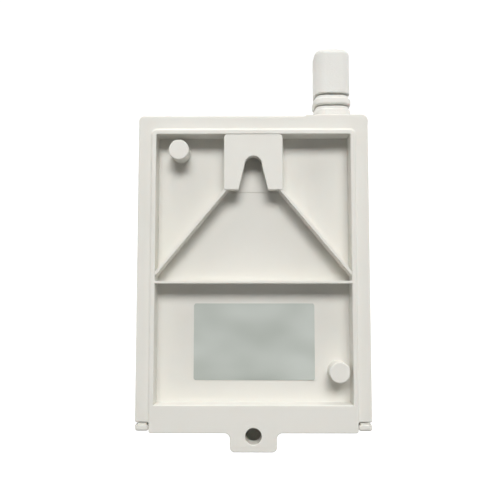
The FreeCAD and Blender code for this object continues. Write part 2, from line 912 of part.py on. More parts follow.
def clamp_path():
    """Profile of the cable clamp: flat feet with a round saddle over each cable."""
    outer = saddle_radius + saddle_wall
    seat = clamp_seat
    foot = seat + saddle_wall
    shoulder = math.sqrt(outer ** 2 - saddle_wall ** 2)
    edges = []
    here = to_floor(-clamp_half, foot, clamp_bottom)

    def line_to(start, point):
        edges.append(Part.LineSegment(start, point).toShape())
        return point

    for centre in (-cable_x, cable_x):
        left = to_floor(centre - shoulder, foot, clamp_bottom)
        crown = to_floor(centre, seat + outer, clamp_bottom)
        right = to_floor(centre + shoulder, foot, clamp_bottom)
        line_to(here, left)
        edges.append(Part.Arc(left, crown, right).toShape())
        here = right
    here = line_to(here, to_floor(clamp_half, foot, clamp_bottom))
    here = line_to(here, to_floor(clamp_half, seat, clamp_bottom))
    for centre in (cable_x, -cable_x):
        right = to_floor(centre + saddle_radius, seat, clamp_bottom)
        crown = to_floor(centre, seat + saddle_radius, clamp_bottom)
        left = to_floor(centre - saddle_radius, seat, clamp_bottom)
        line_to(here, right)
        edges.append(Part.Arc(right, crown, left).toShape())
        here = left
    here = line_to(here, to_floor(-clamp_half, seat, clamp_bottom))
    line_to(here, to_floor(-clamp_half, foot, clamp_bottom))
    return Part.Wire(edges)


def cable_clamp():
    """Clamp bar over both cables, screwed to three posts."""
    bar = Part.Face(clamp_path()).extrude(Vector(0, 0, clamp_width))
    for x in clamp_screw_x:
        bar = bar.cut(post((x, clamp_z), clamp_screw_radius + fit_clearance, 0, case_depth))
    return bar


def clamp_screw(x):
    """Pan-head screw through the clamp bar into a post."""
    return pan_screw((x, clamp_z), clamp_screw_radius, clamp_screw_head,
                     clamp_seat + saddle_wall, clamp_screw_head_length, clamp_screw_length)


def circuit_board():
    """Main board with screw holes, holes for the case bosses and a slot beside the mains."""
    board = plate(rectangle(-board_half, board_half, board_bottom, board_top, board_corner),
                  board_back, board_face)
    for place in tower_places:
        board = board.cut(post(place, front_boss_radius + cover_gap, 0, case_depth))
    for place in board_screw_places:
        board = board.cut(post(place, board_screw_radius + fit_clearance, 0, case_depth))
    slot_x = relay_size[0] / 2
    slot_z = relay_z + relay_size[1] / 2 + board_slot_gap
    slot = plate(rectangle(-slot_x, slot_x, slot_z - board_slot_half, slot_z + board_slot_half,
                           board_slot_half * 0.8), 0, case_depth)
    return board.cut(slot)


def terminal_screw_place(index):
    """Place (x, z) of one terminal's screw."""
    x = (index - (terminal_count - 1) / 2) * terminal_pitch
    return (x, terminal_z + terminal_depth / 2)


def terminal_top():
    """Depth of the terminal block's front face."""
    return board_face + terminal_height


def terminal_block():
    """Stepped block with a screw well and a wire entry for each terminal."""
    half = terminal_count * terminal_pitch / 2
    top = terminal_top()
    back = terminal_z + terminal_depth
    shoulder = top - terminal_step
    ring = [(board_face, terminal_z), (shoulder, terminal_z), (top, terminal_z + terminal_slope),
            (top, back - terminal_slope), (shoulder, back), (board_face, back)]
    points = [Vector(-half, -depth, z) for depth, z in ring]
    body = Part.Face(Part.makePolygon(points + points[:1])).extrude(Vector(2 * half, 0, 0))
    well_floor = top - terminal_screw_sink - terminal_screw_length
    entry_low = board_face + wire_entry_lift
    cuts = []
    for index in range(terminal_count):
        x, z = terminal_screw_place(index)
        cuts.append(post((x, z), terminal_screw_radius + terminal_hole_clearance, well_floor,
                         top + overshoot))
        cuts.append(block(x - wire_entry / 2, x + wire_entry / 2, entry_low,
                          entry_low + wire_entry, terminal_z - overshoot, z))
    return body.cut(cuts)


def terminal_screw(index):
    """Slotted terminal screw, sunk in its well."""
    x, z = terminal_screw_place(index)
    top = terminal_top() - terminal_screw_sink
    low = top - terminal_screw_length
    neck = top - terminal_head_length
    screw = turned_forward([(0, low, 0), (terminal_shank_radius, low, fine_round),
                            (terminal_shank_radius, neck, 0), (terminal_screw_radius, neck, 0),
                            (terminal_screw_radius, top, edge_round), (0, top, 0)], (x, z))
    arm = terminal_screw_radius + fit_clearance
    return screw.cut(block(x - arm, x + arm, top - terminal_slot_depth, top + overshoot,
                           z - slot_width / 2, z + slot_width / 2))


def antenna_base():
    """Bush in the top wall: ring, neck, thread for the nut and a tail for the locknut."""
    ring = stub_section(base_reach, base_seat, base_top)
    ring = ring.makeFillet(base_round, rim_at(ring, base_top))
    neck = stub_section(base_neck_reach, base_top - bite, neck_top)
    neck = neck.makeFillet(fine_round, rim_at(neck, neck_top))
    low = base_seat - base_tail
    spigot = neck_top + thread_top
    thread = turned_upright([(0, low, 0), (thread_radius, low, edge_round),
                             (thread_radius, spigot, edge_round), (0, spigot, 0)])
    bore = Part.makeCylinder(base_bore, spigot - low, to_front(antenna_x, low, antenna_depth))
    return joined([ring, neck, thread]).cut(bore)


def antenna_gasket():
    """Rubber washer between the base and the pad."""
    washer = stub_section(gasket_reach, pad_top, base_seat)
    washer = washer.makeFillet(gasket_round, rim_at(washer, pad_top) + rim_at(washer, base_seat))
    return washer.cut(Part.makeCylinder(thread_radius + fit_clearance, gasket_thickness,
                                        to_front(antenna_x, pad_top, antenna_depth)))


def antenna_locknut():
    """Hexagon nut that holds the base under the top wall."""
    corner = locknut_flats / math.sqrt(3)
    low = inner_top - locknut_height
    ring = [Vector(antenna_x + corner * math.cos(math.radians(60 * i)),
                   -antenna_depth + corner * math.sin(math.radians(60 * i)), low)
            for i in range(7)]
    nut = Part.Face(Part.makePolygon(ring)).extrude(Vector(0, 0, locknut_height))
    bore = thread_radius + fit_clearance / 2
    return nut.cut(Part.makeCylinder(bore, locknut_height, ring[0] - Vector(corner, 0, 0)))


def antenna_nut():
    """Coupling nut: barrel ring and narrow neck, with a lip over the foot."""
    ring = stub_section(nut_reach, nut_bottom, nut_ring_top)
    ring = ring.makeFillet(nut_ring_round, rim_at(ring, nut_bottom) + rim_at(ring, nut_ring_top))
    neck = stub_section(nut_neck_reach, nut_bottom + nut_ring_round, nut_top)
    neck = neck.makeFillet(fine_round, rim_at(neck, nut_top))
    bore = thread_radius + fit_clearance / 2
    room = turned_upright([(0, nut_bottom - overshoot, 0), (bore, nut_bottom - overshoot, 0),
                           (bore, nut_lip_bottom, 0), (nut_lip_bore, nut_lip_bottom, 0),
                           (nut_lip_bore, nut_top + overshoot, 0),
                           (0, nut_top + overshoot, 0)])
    return joined([ring, neck]).cut(room)


def antenna_foot():
    """Metal foot under the nut's lip, with the stem that carries the cap."""
    bore = pin_radius + pin_clearance
    top = foot_bottom + foot_thickness
    return turned_upright([(bore, foot_bottom, 0), (foot_radius, foot_bottom, 0),
                           (foot_radius, top, 0), (stem_radius, top, 0),
                           (stem_radius, stem_top, edge_round), (bore, stem_top, 0)])


def antenna_cap():
    """Blunt cap of the stub antenna, hollow over the coil."""
    cap = stub_section(antenna_cap_reach, cap_bottom, antenna_top)
    cap = cap.makeFillet(antenna_cap_round, rim_at(cap, antenna_top))
    cap = cap.makeFillet(edge_round, rim_at(cap, cap_bottom))
    grip = stem_radius + pin_clearance
    room = coil_mean_radius + coil_wire_radius + coil_room_clearance
    ceiling = antenna_top - antenna_cap_top_wall
    low = cap_bottom - overshoot
    return cap.cut(turned_upright([(0, low, 0), (grip, low, 0), (grip, stem_top, 0),
                                   (room, stem_top, 0), (room, ceiling, antenna_cap_room_round),
                                   (0, ceiling, 0)]))


def antenna_pin():
    """Centre pin that runs from the coil through the foot and base to the socket."""
    tip = stem_top - pin_tail
    return turned_upright([(0, tip - pin_radius, 0), (pin_radius, tip, 0),
                           (pin_radius, stem_top, 0), (0, stem_top, 0)])


def antenna_socket():
    """Socket on the receiver board that takes the centre pin."""
    low = socket_top - socket_length
    bore = pin_radius + pin_clearance
    well = low + socket_floor
    return turned_upright([(0, low, 0), (socket_radius, low, 0), (socket_radius, socket_top, 0),
                           (bore, socket_top, 0), (bore, well, 0), (0, well, 0)])


def coil_point(turn):
    """Centre of the coil's wire after so many turns."""
    angle = 2 * math.pi * turn
    start = stem_top + coil_wire_radius + pin_clearance
    return Vector(antenna_x + coil_mean_radius * math.cos(angle),
                  -antenna_depth + coil_mean_radius * math.sin(angle),
                  start + coil_pitch * turn)


def coil_tangent(turn):
    """Direction of the coil's wire after so many turns."""
    angle = 2 * math.pi * turn
    run = 2 * math.pi * coil_mean_radius
    return Vector(-run * math.sin(angle), run * math.cos(angle), coil_pitch).normalize()


def arc_from(start, tangent, end):
    """Arc that leaves one point along a tangent and ends at another."""
    chord = end - start
    length = chord.Length
    along = Vector(chord).normalize()
    lean = tangent - along * tangent.dot(along)
    angle = tangent.getAngle(chord)
    rise = length / 2 * math.tan(angle / 2)
    return Part.Arc(start, start + chord * 0.5 + lean.normalize() * rise, end).toShape()


def biarc(start, start_way, end, end_way):
    """Two arcs that join two points smoothly."""
    gap = end - start
    both = start_way + end_way
    turn = 2 * (1 - start_way.dot(end_way))
    reach = (math.sqrt(gap.dot(both) ** 2 + turn * gap.dot(gap)) - gap.dot(both)) / turn
    middle = (start + end + (start_way - end_way) * reach) * 0.5
    first = arc_from(start, start_way, middle)
    way = (middle - (start + start_way * reach)).normalize()
    return [first, arc_from(middle, way, end)]


def antenna_coil():
    """Spring-wound wire of the antenna as one unbroken tube."""
    edges = []
    for quarter in range(4 * coil_turns):
        low = quarter / 4
        high = (quarter + 1) / 4
        edges += biarc(coil_point(low), coil_tangent(low), coil_point(high), coil_tangent(high))
    path = Part.Wire(edges)
    ring = Part.Wire(Part.makeCircle(coil_wire_radius, coil_point(0), coil_tangent(0)))
    least = coil_pitch - 2 * coil_wire_radius
    for step in range(20):
        away = coil_point(step / 20) - coil_point(1 + step / 20)
        least = min(least, away.Length - 2 * coil_wire_radius)
    print("least gap between the coil's turns: %.2f mm" % least)
    return path.makePipeShell([ring], True, False)


def receiver_board():
    """Small upright board beside the antenna's tail."""
    low_x = antenna_x - receiver_half + receiver_side_cut
    return plate(rectangle(low_x, antenna_x + receiver_half, receiver_bottom,
                           receiver_bottom + receiver_height, receiver_corner),
                 receiver_back, receiver_face)


def receiver_header():
    """Header strip with its pins between the two boards."""
    low = receiver_bottom + header_bottom
    centre = antenna_x + receiver_half - header_half
    strip = block(centre - header_half, centre + header_half, board_face, receiver_back, low,
                  low + header_height)
    return strip.makeFillet(edge_round, edges_at(strip, lambda box: box.YLength > fit_clearance))


def receiver_chip():
    """Flat square chip on the receiver board."""
    place = (antenna_x, receiver_bottom + receiver_chip_rise)
    return rounded_box((receiver_chip_side, receiver_chip_side, receiver_chip_height), place,
                       receiver_face, fine_round)


def receiver_crystal():
    """Crystal can, an oval tin with a flanged foot."""
    place = (antenna_x, receiver_bottom + crystal_rise)
    can = oval(place, crystal_half, crystal_width / 2, receiver_face,
               receiver_face + crystal_height)
    top = edges_at(can, lambda box: box.YMax < -receiver_face - crystal_height + near_zero)
    can = can.makeFillet(crystal_round, top)
    rim = oval(place, crystal_half + crystal_rim, crystal_width / 2 + crystal_rim,
               receiver_face, receiver_face + crystal_rim_height)
    return joined([can, rim])


def oval(place, half_long, half_wide, depth_low, depth_high):
    """Prism with straight sides and round ends, long in x."""
    x, z = place
    return plate(rectangle(x - half_long, x + half_long, z - half_wide, z + half_wide,
                           half_wide * 0.999), depth_low, depth_high)


def learn_switch():
    """Body of the learn switch with its raised metal lid."""
    place = (button_x, indicator_z)
    base = rounded_box((switch_side, switch_side, switch_height), place, board_face, edge_round)
    floor = board_face + switch_height - plunger_well
    return base.cut(post(place, plunger_radius + fit_clearance, floor, case_depth))


def learn_plunger():
    """Plunger of the learn switch."""
    low = board_face + switch_height - plunger_well + button_travel
    return turned_forward([(0, low, 0), (plunger_radius, low, 0),
                           (plunger_radius, plunger_tip, fine_round), (0, plunger_tip, 0)],
                          (button_x, indicator_z))


def learn_button():
    """Button cap with a flange behind the front wall and a stem to the plunger."""
    face = case_depth - panel_sink + button_rise
    flange = front_inner - button_flange
    return turned_forward([(0, plunger_tip, 0), (button_stem_radius, plunger_tip, fine_round),
                           (button_stem_radius, flange, 0),
                           (button_flange_radius, flange, fine_round),
                           (button_flange_radius, front_inner, 0),
                           (button_radius, front_inner, 0), (button_radius, face, button_round),
                           (0, face, 0)], (button_x, indicator_z))


def status_led(x):
    """Flat indicator lamp with a small lens."""
    base_height = led_height * led_base_share
    base = rounded_box((led_length, led_width, base_height), (x, indicator_z), board_face,
                       fine_round)
    lens = post((x, indicator_z), led_width * led_lens_share, board_face + base_height - bite,
                board_face + led_height)
    return joined([base, lens])


def light_pipe(x):
    """Clear rod that carries a lamp's light to the front."""
    low = board_face + led_height + pipe_gap
    head = front_inner - pipe_head_length
    face = case_depth - panel_sink
    return turned_forward([(0, low, 0), (pipe_radius, low, 0), (pipe_radius, head, 0),
                           (pipe_head_radius, head, 0), (pipe_head_radius, front_inner, 0),
                           (pipe_radius, front_inner, 0), (pipe_radius, face, edge_round),
                           (0, face, 0)], (x, indicator_z))


def power_relay():
    """Sealed relay on four short feet."""
    foot = board_face + relay_foot
    body = rounded_box(relay_size, relay_place, foot, relay_round)
    feet = []
    for side_x in (-1, 1):
        for side_z in (-1, 1):
            x = relay_place[0] + side_x * (relay_size[0] / 2 - relay_foot_inset)
            z = relay_place[1] + side_z * (relay_size[1] / 2 - relay_foot_inset)
            feet.append(post((x, z), relay_foot_radius, board_face, foot + bite))
    return joined([body] + feet)


def can_capacitor(place, radius, height):
    """Electrolytic capacitor with its rolled groove and scored top."""
    top = board_face + height
    bead = board_face + can_bead_height
    foot = bead - can_bead_half - edge_round
    can = turned_forward([(0, board_face, 0), (radius - edge_round, board_face, 0),
                          (radius, foot, edge_round), (radius, bead - can_bead_half, 0),
                          (radius - can_bead_depth, bead, fine_round),
                          (radius, bead + can_bead_half, 0), (radius, top, can_round),
                          (0, top, 0)], place)
    x, z = place
    arm = radius * cross_reach
    deep = top - can_score_depth
    thin = can_score_half
    score = [block(x - arm, x + arm, deep, top + overshoot, z - thin, z + thin),
             block(x - thin, x + thin, deep, top + overshoot, z - arm, z + arm)]
    return can.cut(score)


def leaded(body, places):
    """Component body with straight leads down to the board."""
    leads = []
    for x, z, depth in places:
        leads.append(post((x, z), lead_radius, board_face, depth))
    return joined([body] + leads)


def varistor():
    """Coated disc that stands on two leads, its flat sides up and down."""
    x, z = varistor_place
    depth = board_face + varistor_lift + varistor_radius
    half = varistor_thickness / 2
    rim = x + varistor_radius
    face = Part.Face(outline([(x, z - half, 0), (rim, z - half, varistor_round),
                              (rim, z + half, varistor_round), (x, z + half, 0)],
                             to_front, depth))
    disc = face.revolve(to_front(x, z, depth), Vector(0, 0, 1), 360)
    spread = varistor_radius / 2
    return leaded(disc, [(x - spread, z, depth - spread), (x + spread, z, depth - spread)])


def mains_fuse():
    """Round can of the mains fuse."""
    top = board_face + fuse_height
    skirt = board_face + overshoot
    return turned_forward([(0, board_face, 0), (fuse_radius, board_face, 0),
                           (fuse_radius, skirt, 0), (fuse_radius - fuse_skirt, skirt, 0),
                           (fuse_radius - fuse_skirt, top, edge_round), (0, top, 0)], fuse_place)


def flyback_diode():
    """Diode that lies on the board, its leads bent down at both ends."""
    x, z = diode_place
    depth = board_face + diode_radius
    half = diode_length / 2
    body = Part.makeCylinder(diode_radius, diode_length, to_front(x, z - half, depth))
    reach = half + diode_lead
    wire = Part.makeCylinder(lead_radius, 2 * reach, to_front(x, z - reach, depth))
    ends = [post((x, z + side * reach), lead_radius, board_face, depth) for side in (-1, 1)]
    return joined([body, wire] + ends)


def relay_transistor():
    """Small transistor with a flat face on three leads."""
    x, z = transistor_place
    low = board_face + transistor_lift
    body = post(transistor_place, transistor_radius, low, low + transistor_height)
    size = 2 * transistor_radius
    body = body.cut(block(x - size, x + size, 0, case_depth, z - size, z - transistor_flat))
    places = [(x + step * leg_pitch, z, low + bite) for step in (-1, 0, 1)]
    return leaded(body, places)


def transformer_base():
    """Pin plate that lifts the transformer off the board."""
    size = (core_size[0], core_size[1], transformer_base_height)
    return rounded_box(size, transformer_place, board_face, soft_edge / 2)


def transformer_core():
    """Two E-shaped ferrite halves closed round the coil."""
    x, z = transformer_place
    half_x = core_size[0] / 2
    half_z = core_size[1] / 2
    low = board_face + transformer_base_height
    core = block(x - half_x, x + half_x, low, low + core_size[2], z - half_z, z + half_z)
    room = (half_x - core_leg, half_z - core_leg)
    core = core.cut(block(x - room[0], x + room[0], 0, case_depth, z - room[1], z + room[1]))
    leg = post((x, z), core_leg, low, low + core_size[2])
    bars = [block(x - room[0] - bite, x + room[0] + bite, depth, depth + core_bar,
                  z - room[1] - bite, z + room[1] + bite)
            for depth in (low, low + core_size[2] - core_bar)]
    return joined([core, leg] + bars)


def transformer_coil():
    """Bobbin and winding round the core's middle leg."""
    foot = board_face + transformer_base_height
    low = foot + core_bar + coil_end_gap
    high = foot + core_size[2] - core_bar - coil_end_gap
    room = min(core_size[0], core_size[1]) / 2 - core_leg - coil_end_gap
    bore = core_leg + fit_clearance
    wound = room - winding_sink
    wound_low = low + bobbin_flange
    wound_high = high - bobbin_flange
    return turned_forward([(bore, low, 0), (room, low, 0), (room, wound_low, 0),
                           (wound, wound_low, 0), (wound, wound_high, 0), (room, wound_high, 0),
                           (room, high, 0), (bore, high, 0)], transformer_place)


def chip(size, place, legs):
    """Flat chip with bent legs along both long sides."""
    body = rounded_box((size[0], size[1], size[2] - chip_lift), place, board_face + chip_lift,
                       fine_round)
    x, z = place
    edge = size[1] / 2
    parts = [body]
    for index in range(legs):
        leg_x = x + (index - (legs - 1) / 2) * leg_pitch
        for side in (-1, 1):
            reach = sorted((z + side * (edge - bite), z + side * (edge + leg_reach)))
            parts.append(block(leg_x - leg_half, leg_x + leg_half, board_face,
                               board_face + leg_height, *reach))
    return joined(parts)


def rating_label():
    """Thin film on the floor of the lower recess."""
    x = label_centre_x
    return plate(rectangle(x - label_half, x + label_half, label_bottom, label_top,
                           label_corner), recess_depth - label_thickness, recess_depth)


def save(node, shapes):
    """Write one node as a STEP file, a group of solids where it has several."""
    solids = [solid for shape in shapes for solid in shape.Solids]
    whole = solids[0] if len(solids) == 1 else Part.makeCompound(solids)
    if not whole.isValid():
        print("not valid:", node)
    whole.exportStep("parts/%s.step" % node)


def build():
    """Build every node of the receiver."""
    os.makedirs("parts", exist_ok=True)
    save("rear_cover", [rear_cover()])
    save("front_cover", [front_cover()])
    save("wiring_cover", [wiring_cover()])
    save("screw_caps", [screw_cap(place) for place in tower_places])
    save("case_screws", [case_screw(place) for place in tower_places])
    save("rating_label", [rating_label()])
    save("circuit_board", [circuit_board()])
    save("board_screws", [board_screw(place) for place in board_screw_places])
    save("terminal_block", [terminal_block()])
    save("terminal_screws", [terminal_screw(index) for index in range(terminal_count)])
    save("cable_clamp", [cable_clamp()])
    save("cable_clamp_screws", [clamp_screw(x) for x in clamp_screw_x])
    save("antenna_base", [antenna_base()])
    save("antenna_gasket", [antenna_gasket()])
    save("antenna_locknut", [antenna_locknut()])
    save("antenna_nut", [antenna_nut()])
    save("antenna_foot", [antenna_foot()])
    save("antenna_cap", [antenna_cap()])
    save("antenna_pin", [antenna_pin()])
    save("antenna_coil", [antenna_coil()])
    save("antenna_socket", [antenna_socket()])
    save("receiver_board", [receiver_board()])
    save("receiver_header", [receiver_header()])
    save("receiver_chip", [receiver_chip()])
    save("receiver_crystal", [receiver_crystal()])
    save("learn_switch", [learn_switch()])
    save("learn_plunger", [learn_plunger()])
    save("learn_button", [learn_button()])
    save("status_leds", [status_led(x) for x in led_places])
    save("light_pipes", [light_pipe(x) for x in led_places])
    save("power_relay", [power_relay()])
    save("mains_fuse", [mains_fuse()])
    save("varistor", [varistor()])
    save("film_capacitor", [rounded_box(film_size, film_place, board_face, soft_edge)])
    save("bridge_rectifier", [rounded_box(bridge_size, bridge_place, board_face, soft_edge)])
    save("bulk_capacitor", [can_capacitor(bulk_place, bulk_radius, bulk_height)])
    save("output_capacitor", [can_capacitor(output_place, output_radius, output_height)])
    save("transformer_base", [transformer_base()])
    save("transformer_core", [transformer_core()])
    save("transformer_coil", [transformer_coil()])
    save("power_chip", [chip(chip_size, chip_place, chip_legs)])
    save("microcontroller", [chip(controller_size, controller_place, controller_legs)])
    save("flyback_diode", [flyback_diode()])
    save("relay_transistor", [relay_transistor()])


build()
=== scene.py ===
"""Looks of a wall-mounted relay receiver, seen from behind.

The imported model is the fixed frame. Classes for the sub-assemblies dress its nodes and add the
pieces that the solids leave to this file. Lengths are in metres unless a name says otherwise.
"""

import logging
import math
from dataclasses import dataclass, replace
from enum import Enum

import bmesh
import bpy
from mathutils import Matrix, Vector


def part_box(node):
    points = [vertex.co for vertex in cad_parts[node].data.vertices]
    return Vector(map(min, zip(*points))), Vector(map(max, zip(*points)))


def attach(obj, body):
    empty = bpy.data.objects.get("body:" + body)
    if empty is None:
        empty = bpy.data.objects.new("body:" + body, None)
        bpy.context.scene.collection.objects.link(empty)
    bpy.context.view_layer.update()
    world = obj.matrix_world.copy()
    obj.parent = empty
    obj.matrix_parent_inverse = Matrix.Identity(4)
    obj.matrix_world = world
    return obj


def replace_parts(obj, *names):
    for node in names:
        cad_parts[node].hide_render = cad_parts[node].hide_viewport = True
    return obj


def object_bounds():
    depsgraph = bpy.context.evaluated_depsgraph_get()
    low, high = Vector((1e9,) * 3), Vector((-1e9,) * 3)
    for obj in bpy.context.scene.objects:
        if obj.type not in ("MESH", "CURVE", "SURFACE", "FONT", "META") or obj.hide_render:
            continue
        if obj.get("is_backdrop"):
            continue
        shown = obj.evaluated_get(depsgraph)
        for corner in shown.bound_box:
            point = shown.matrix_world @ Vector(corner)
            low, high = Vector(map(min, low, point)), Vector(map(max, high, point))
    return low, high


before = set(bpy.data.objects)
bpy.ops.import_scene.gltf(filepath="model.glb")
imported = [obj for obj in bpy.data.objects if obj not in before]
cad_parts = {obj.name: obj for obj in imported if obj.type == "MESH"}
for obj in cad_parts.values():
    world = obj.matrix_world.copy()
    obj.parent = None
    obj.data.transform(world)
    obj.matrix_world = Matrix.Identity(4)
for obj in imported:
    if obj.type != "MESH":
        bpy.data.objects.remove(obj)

LOG = logging.getLogger("relay_receiver")

MM = 0.001
CHANNEL_TOP = 255
DISPLAY_KNEE = 0.04045
DISPLAY_SLOPE = 12.92
DISPLAY_LIFT = 0.055
DISPLAY_POWER = 2.4
WELD = 1e-6
EDGE_SAMPLES = 6

# Places of the colour sockets on a mix node, and of the number sockets on a random value.
MIX_FACTOR, MIX_FIRST, MIX_SECOND, MIX_RESULT = 0, 6, 7, 2
RANDOM_LEAST, RANDOM_MOST, RANDOM_RESULT = 2, 3, 1

Colour = tuple[int, int, int]
Triple = tuple[float, float, float]
# What a socket takes: another node's output, a number, a vector, a colour or a material.
Value = object


def linear(colour: Colour) -> tuple[float, float, float, float]:
    """Turns an 8-bit display colour into the linear colour that shaders take.

    Args:
        colour: Red, green and blue from 0 to 255, as seen on a display.

    Returns:
        Linear red, green and blue, with an alpha of 1.
    """
    channels = []
    for channel in colour:
        part = channel / CHANNEL_TOP
        if part <= DISPLAY_KNEE:
            channels.append(part / DISPLAY_SLOPE)
        else:
            channels.append(((part + DISPLAY_LIFT) / (1 + DISPLAY_LIFT)) ** DISPLAY_POWER)
    return (*channels, 1.0)


class Nodes:
    """A node tree that is built a node at a call."""

    def __init__(self, tree: bpy.types.NodeTree) -> None:
        """Takes the tree that the nodes go into."""
        self.tree = tree

    def node(self, kind: str, inputs: dict[str | int, Value] | None = None,
             **settings: Value) -> bpy.types.Node:
        """Adds a node.

        Args:
            kind: The node's type name.
            inputs: What each input takes, a value or another node's output.
            **settings: The node's own options.

        Returns:
            The new node.
        """
        made = self.tree.nodes.new(kind)
        for key, value in settings.items():
            setattr(made, key, value)
        for key, value in (inputs or {}).items():
            self.feed(made.inputs[key], value)
        return made

    def feed(self, socket: bpy.types.NodeSocket, value: Value) -> None:
        """Links an output to a socket, or sets the socket's own value.

        Args:
            socket: The input that is fed.
            value: The output or the plain value that it takes.
        """
        if isinstance(value, bpy.types.NodeSocket):
            self.tree.links.new(value, socket)
        else:
            socket.default_value = value

    def math(self, operation: str, first: Value, second: Value = 0.0) -> bpy.types.NodeSocket:
        """Works out one sum from two values or outputs."""
        return self.node("ShaderNodeMath", {0: first, 1: second}, operation=operation).outputs[0]

    def between(self, factor: bpy.types.NodeSocket, low: float, high: float,
                start: float = 0.3, end: float = 0.7) -> bpy.types.NodeSocket:
        """Spreads a factor's middle part over a range of values.

        Args:
            factor: The driving output.
            low: The value at start.
            high: The value at end.
            start: The factor that gives low.
            end: The factor that gives high.

        Returns:
            The mapped output.
        """
        inputs = {"Value": factor, "From Min": start, "From Max": end, "To Min": low,
                  "To Max": high}
        return self.node("ShaderNodeMapRange", inputs).outputs[0]

    def mixed(self, factor: Value, first: Value, second: Value) -> bpy.types.NodeSocket:
        """Mixes two linear colours or outputs.

        Args:
            factor: The second one's share.
            first: The colour at a factor of 0.
            second: The colour at a factor of 1.

        Returns:
            The mixed output.
        """
        mixer = self.node("ShaderNodeMix", data_type="RGBA")
        for place, value in ((MIX_FACTOR, factor), (MIX_FIRST, first), (MIX_SECOND, second)):
            self.feed(mixer.inputs[place], value)
        return mixer.outputs[MIX_RESULT]

    def looked_at(self) -> bpy.types.NodeSocket:
        """Gives 1 where the camera, gloss or glass looks, and 0 where light only bounces.

        Returns:
            The output.
        """
        rays = self.node("ShaderNodeLightPath").outputs
        through = self.math("MAXIMUM", rays["Is Glossy Ray"], rays["Is Transmission Ray"])
        return self.math("MAXIMUM", rays["Is Camera Ray"], through)


class Shader(Nodes):
    """A material's node tree round one principled surface."""

    def __init__(self, name: str) -> None:
        """Starts a material of that name."""
        self.material = bpy.data.materials.new(name)
        self.material.use_nodes = True
        super().__init__(self.material.node_tree)
        self.surface = self.tree.nodes["Principled BSDF"]
        self.place = self.node("ShaderNodeTexCoord").outputs["Object"]

    def dress(self, **inputs: Value) -> None:
        """Feeds the surface's inputs, named with underscores for spaces."""
        for key, value in inputs.items():
            self.feed(self.surface.inputs[key.replace("_", " ")], value)

    def stretched(self, stretch: Triple) -> bpy.types.NodeSocket:
        """Gives the object's coordinates, stretched along each axis."""
        shares = tuple(1 / s for s in stretch)
        return self.node("ShaderNodeMapping", {"Vector": self.place, "Scale": shares}).outputs[0]

    def noise(self, size_mm: float, detail: float = 2.0,
              stretch: Triple = (1.0, 1.0, 1.0)) -> bpy.types.NodeSocket:
        """Makes noise from 0 to 1.

        Args:
            size_mm: About how wide its patches are.
            detail: How many finer layers it has.
            stretch: How much longer the patches are along each axis.

        Returns:
            The noise's output.
        """
        inputs = {"Vector": self.stretched(stretch), "Scale": 1 / (size_mm * MM),
                  "Detail": detail}
        return self.node("ShaderNodeTexNoise", inputs).outputs["Fac"]

    def cells(self, size_mm: float, distance: str = "EUCLIDEAN") -> bpy.types.NodeSocket:
        """Gives the distance to the nearest of points scattered about that far apart."""
        inputs = {"Vector": self.place, "Scale": 1 / (size_mm * MM)}
        return self.node("ShaderNodeTexVoronoi", inputs, distance=distance).outputs["Distance"]

    def blend(self, factor: Value, first: Colour, second: Colour) -> bpy.types.NodeSocket:
        """Mixes two display colours."""
        return self.mixed(factor, linear(first), linear(second))

    def soft_edge(self, radius_mm: float) -> bpy.types.NodeSocket:
        """Gives a normal that rounds sharp edges by that radius."""
        inputs = {"Radius": radius_mm * MM}
        return self.node("ShaderNodeBevel", inputs, samples=EDGE_SAMPLES).outputs["Normal"]

    def relief(self, height: bpy.types.NodeSocket, depth_mm: float,
               normal: bpy.types.NodeSocket | None = None,
               strength: float = 1.0) -> bpy.types.NodeSocket:
        """Raises the surface where a height is near 1.

        Args:
            height: The output that gives the height from 0 to 1.
            depth_mm: How far the top of the relief is from its foot.
            normal: The normal that the relief is laid on.
            strength: The share of the relief that shows.

        Returns:
            The bumped normal.
        """
        inputs = {"Height": height, "Distance": depth_mm * MM, "Strength": strength}
        if normal is not None:
            inputs["Normal"] = normal
        return self.node("ShaderNodeBump", inputs).outputs[0]


@dataclass(frozen=True)
class Finish:
    """A surface finish, whose material is made once and shared."""

    name: str
    colour: Colour
    roughness: float

    def material(self) -> bpy.types.Material:
        """Gives the finish's material, made at the first call.

        Returns:
            The material that all pieces with this finish share.
        """
        found = bpy.data.materials.get(self.name)
        if found is not None:
            return found
        shader = Shader(self.name)
        shader.dress(Roughness=self.roughness)
        self.paint(shader)
        return shader.material

    def paint(self, shader: Shader) -> None:
        """Lays the finish's colour and relief on a shader."""
        raise NotImplementedError


@dataclass(frozen=True)
class MouldedPlastic(Finish):
    """Injection-moulded plastic with the fine grain of a spark-eroded mould."""

    shade: Colour = (214, 212, 202)
    grain_mm: float = 0.28
    grain_depth_mm: float = 0.006
    grain_dulling: float = 0.06
    edge_mm: float = 0.2
    flow_mm: float = 26.0
    flow_share: float = 0.5
    flow_polish: float = 0.04
    detail: float = 3.0
    glow: float = 0.22
    glow_mm: float = 0.6
    glow_reach: Triple = (1.0, 0.78, 0.68)
    gloss: float = 0.36

    def paint(self, shader: Shader) -> None:
        """Mottles the colour faintly and grains the surface.

        Args:
            shader: The shader that takes the finish.
        """
        flow = shader.noise(self.flow_mm, self.detail)
        grain = shader.noise(self.grain_mm, self.detail)
        colour = shader.blend(shader.between(flow, 0.0, self.flow_share), self.colour, self.shade)
        polished = shader.between(flow, self.roughness - self.flow_polish, self.roughness)
        rough = shader.math("ADD", polished, shader.between(grain, 0.0, self.grain_dulling))
        normal = shader.relief(grain, self.grain_depth_mm, shader.soft_edge(self.edge_mm))
        shader.dress(Base_Color=colour, Roughness=rough, Normal=normal,
                     Subsurface_Weight=self.glow, Subsurface_Radius=self.glow_reach,
                     Subsurface_Scale=self.glow_mm * MM, Specular_IOR_Level=self.gloss)


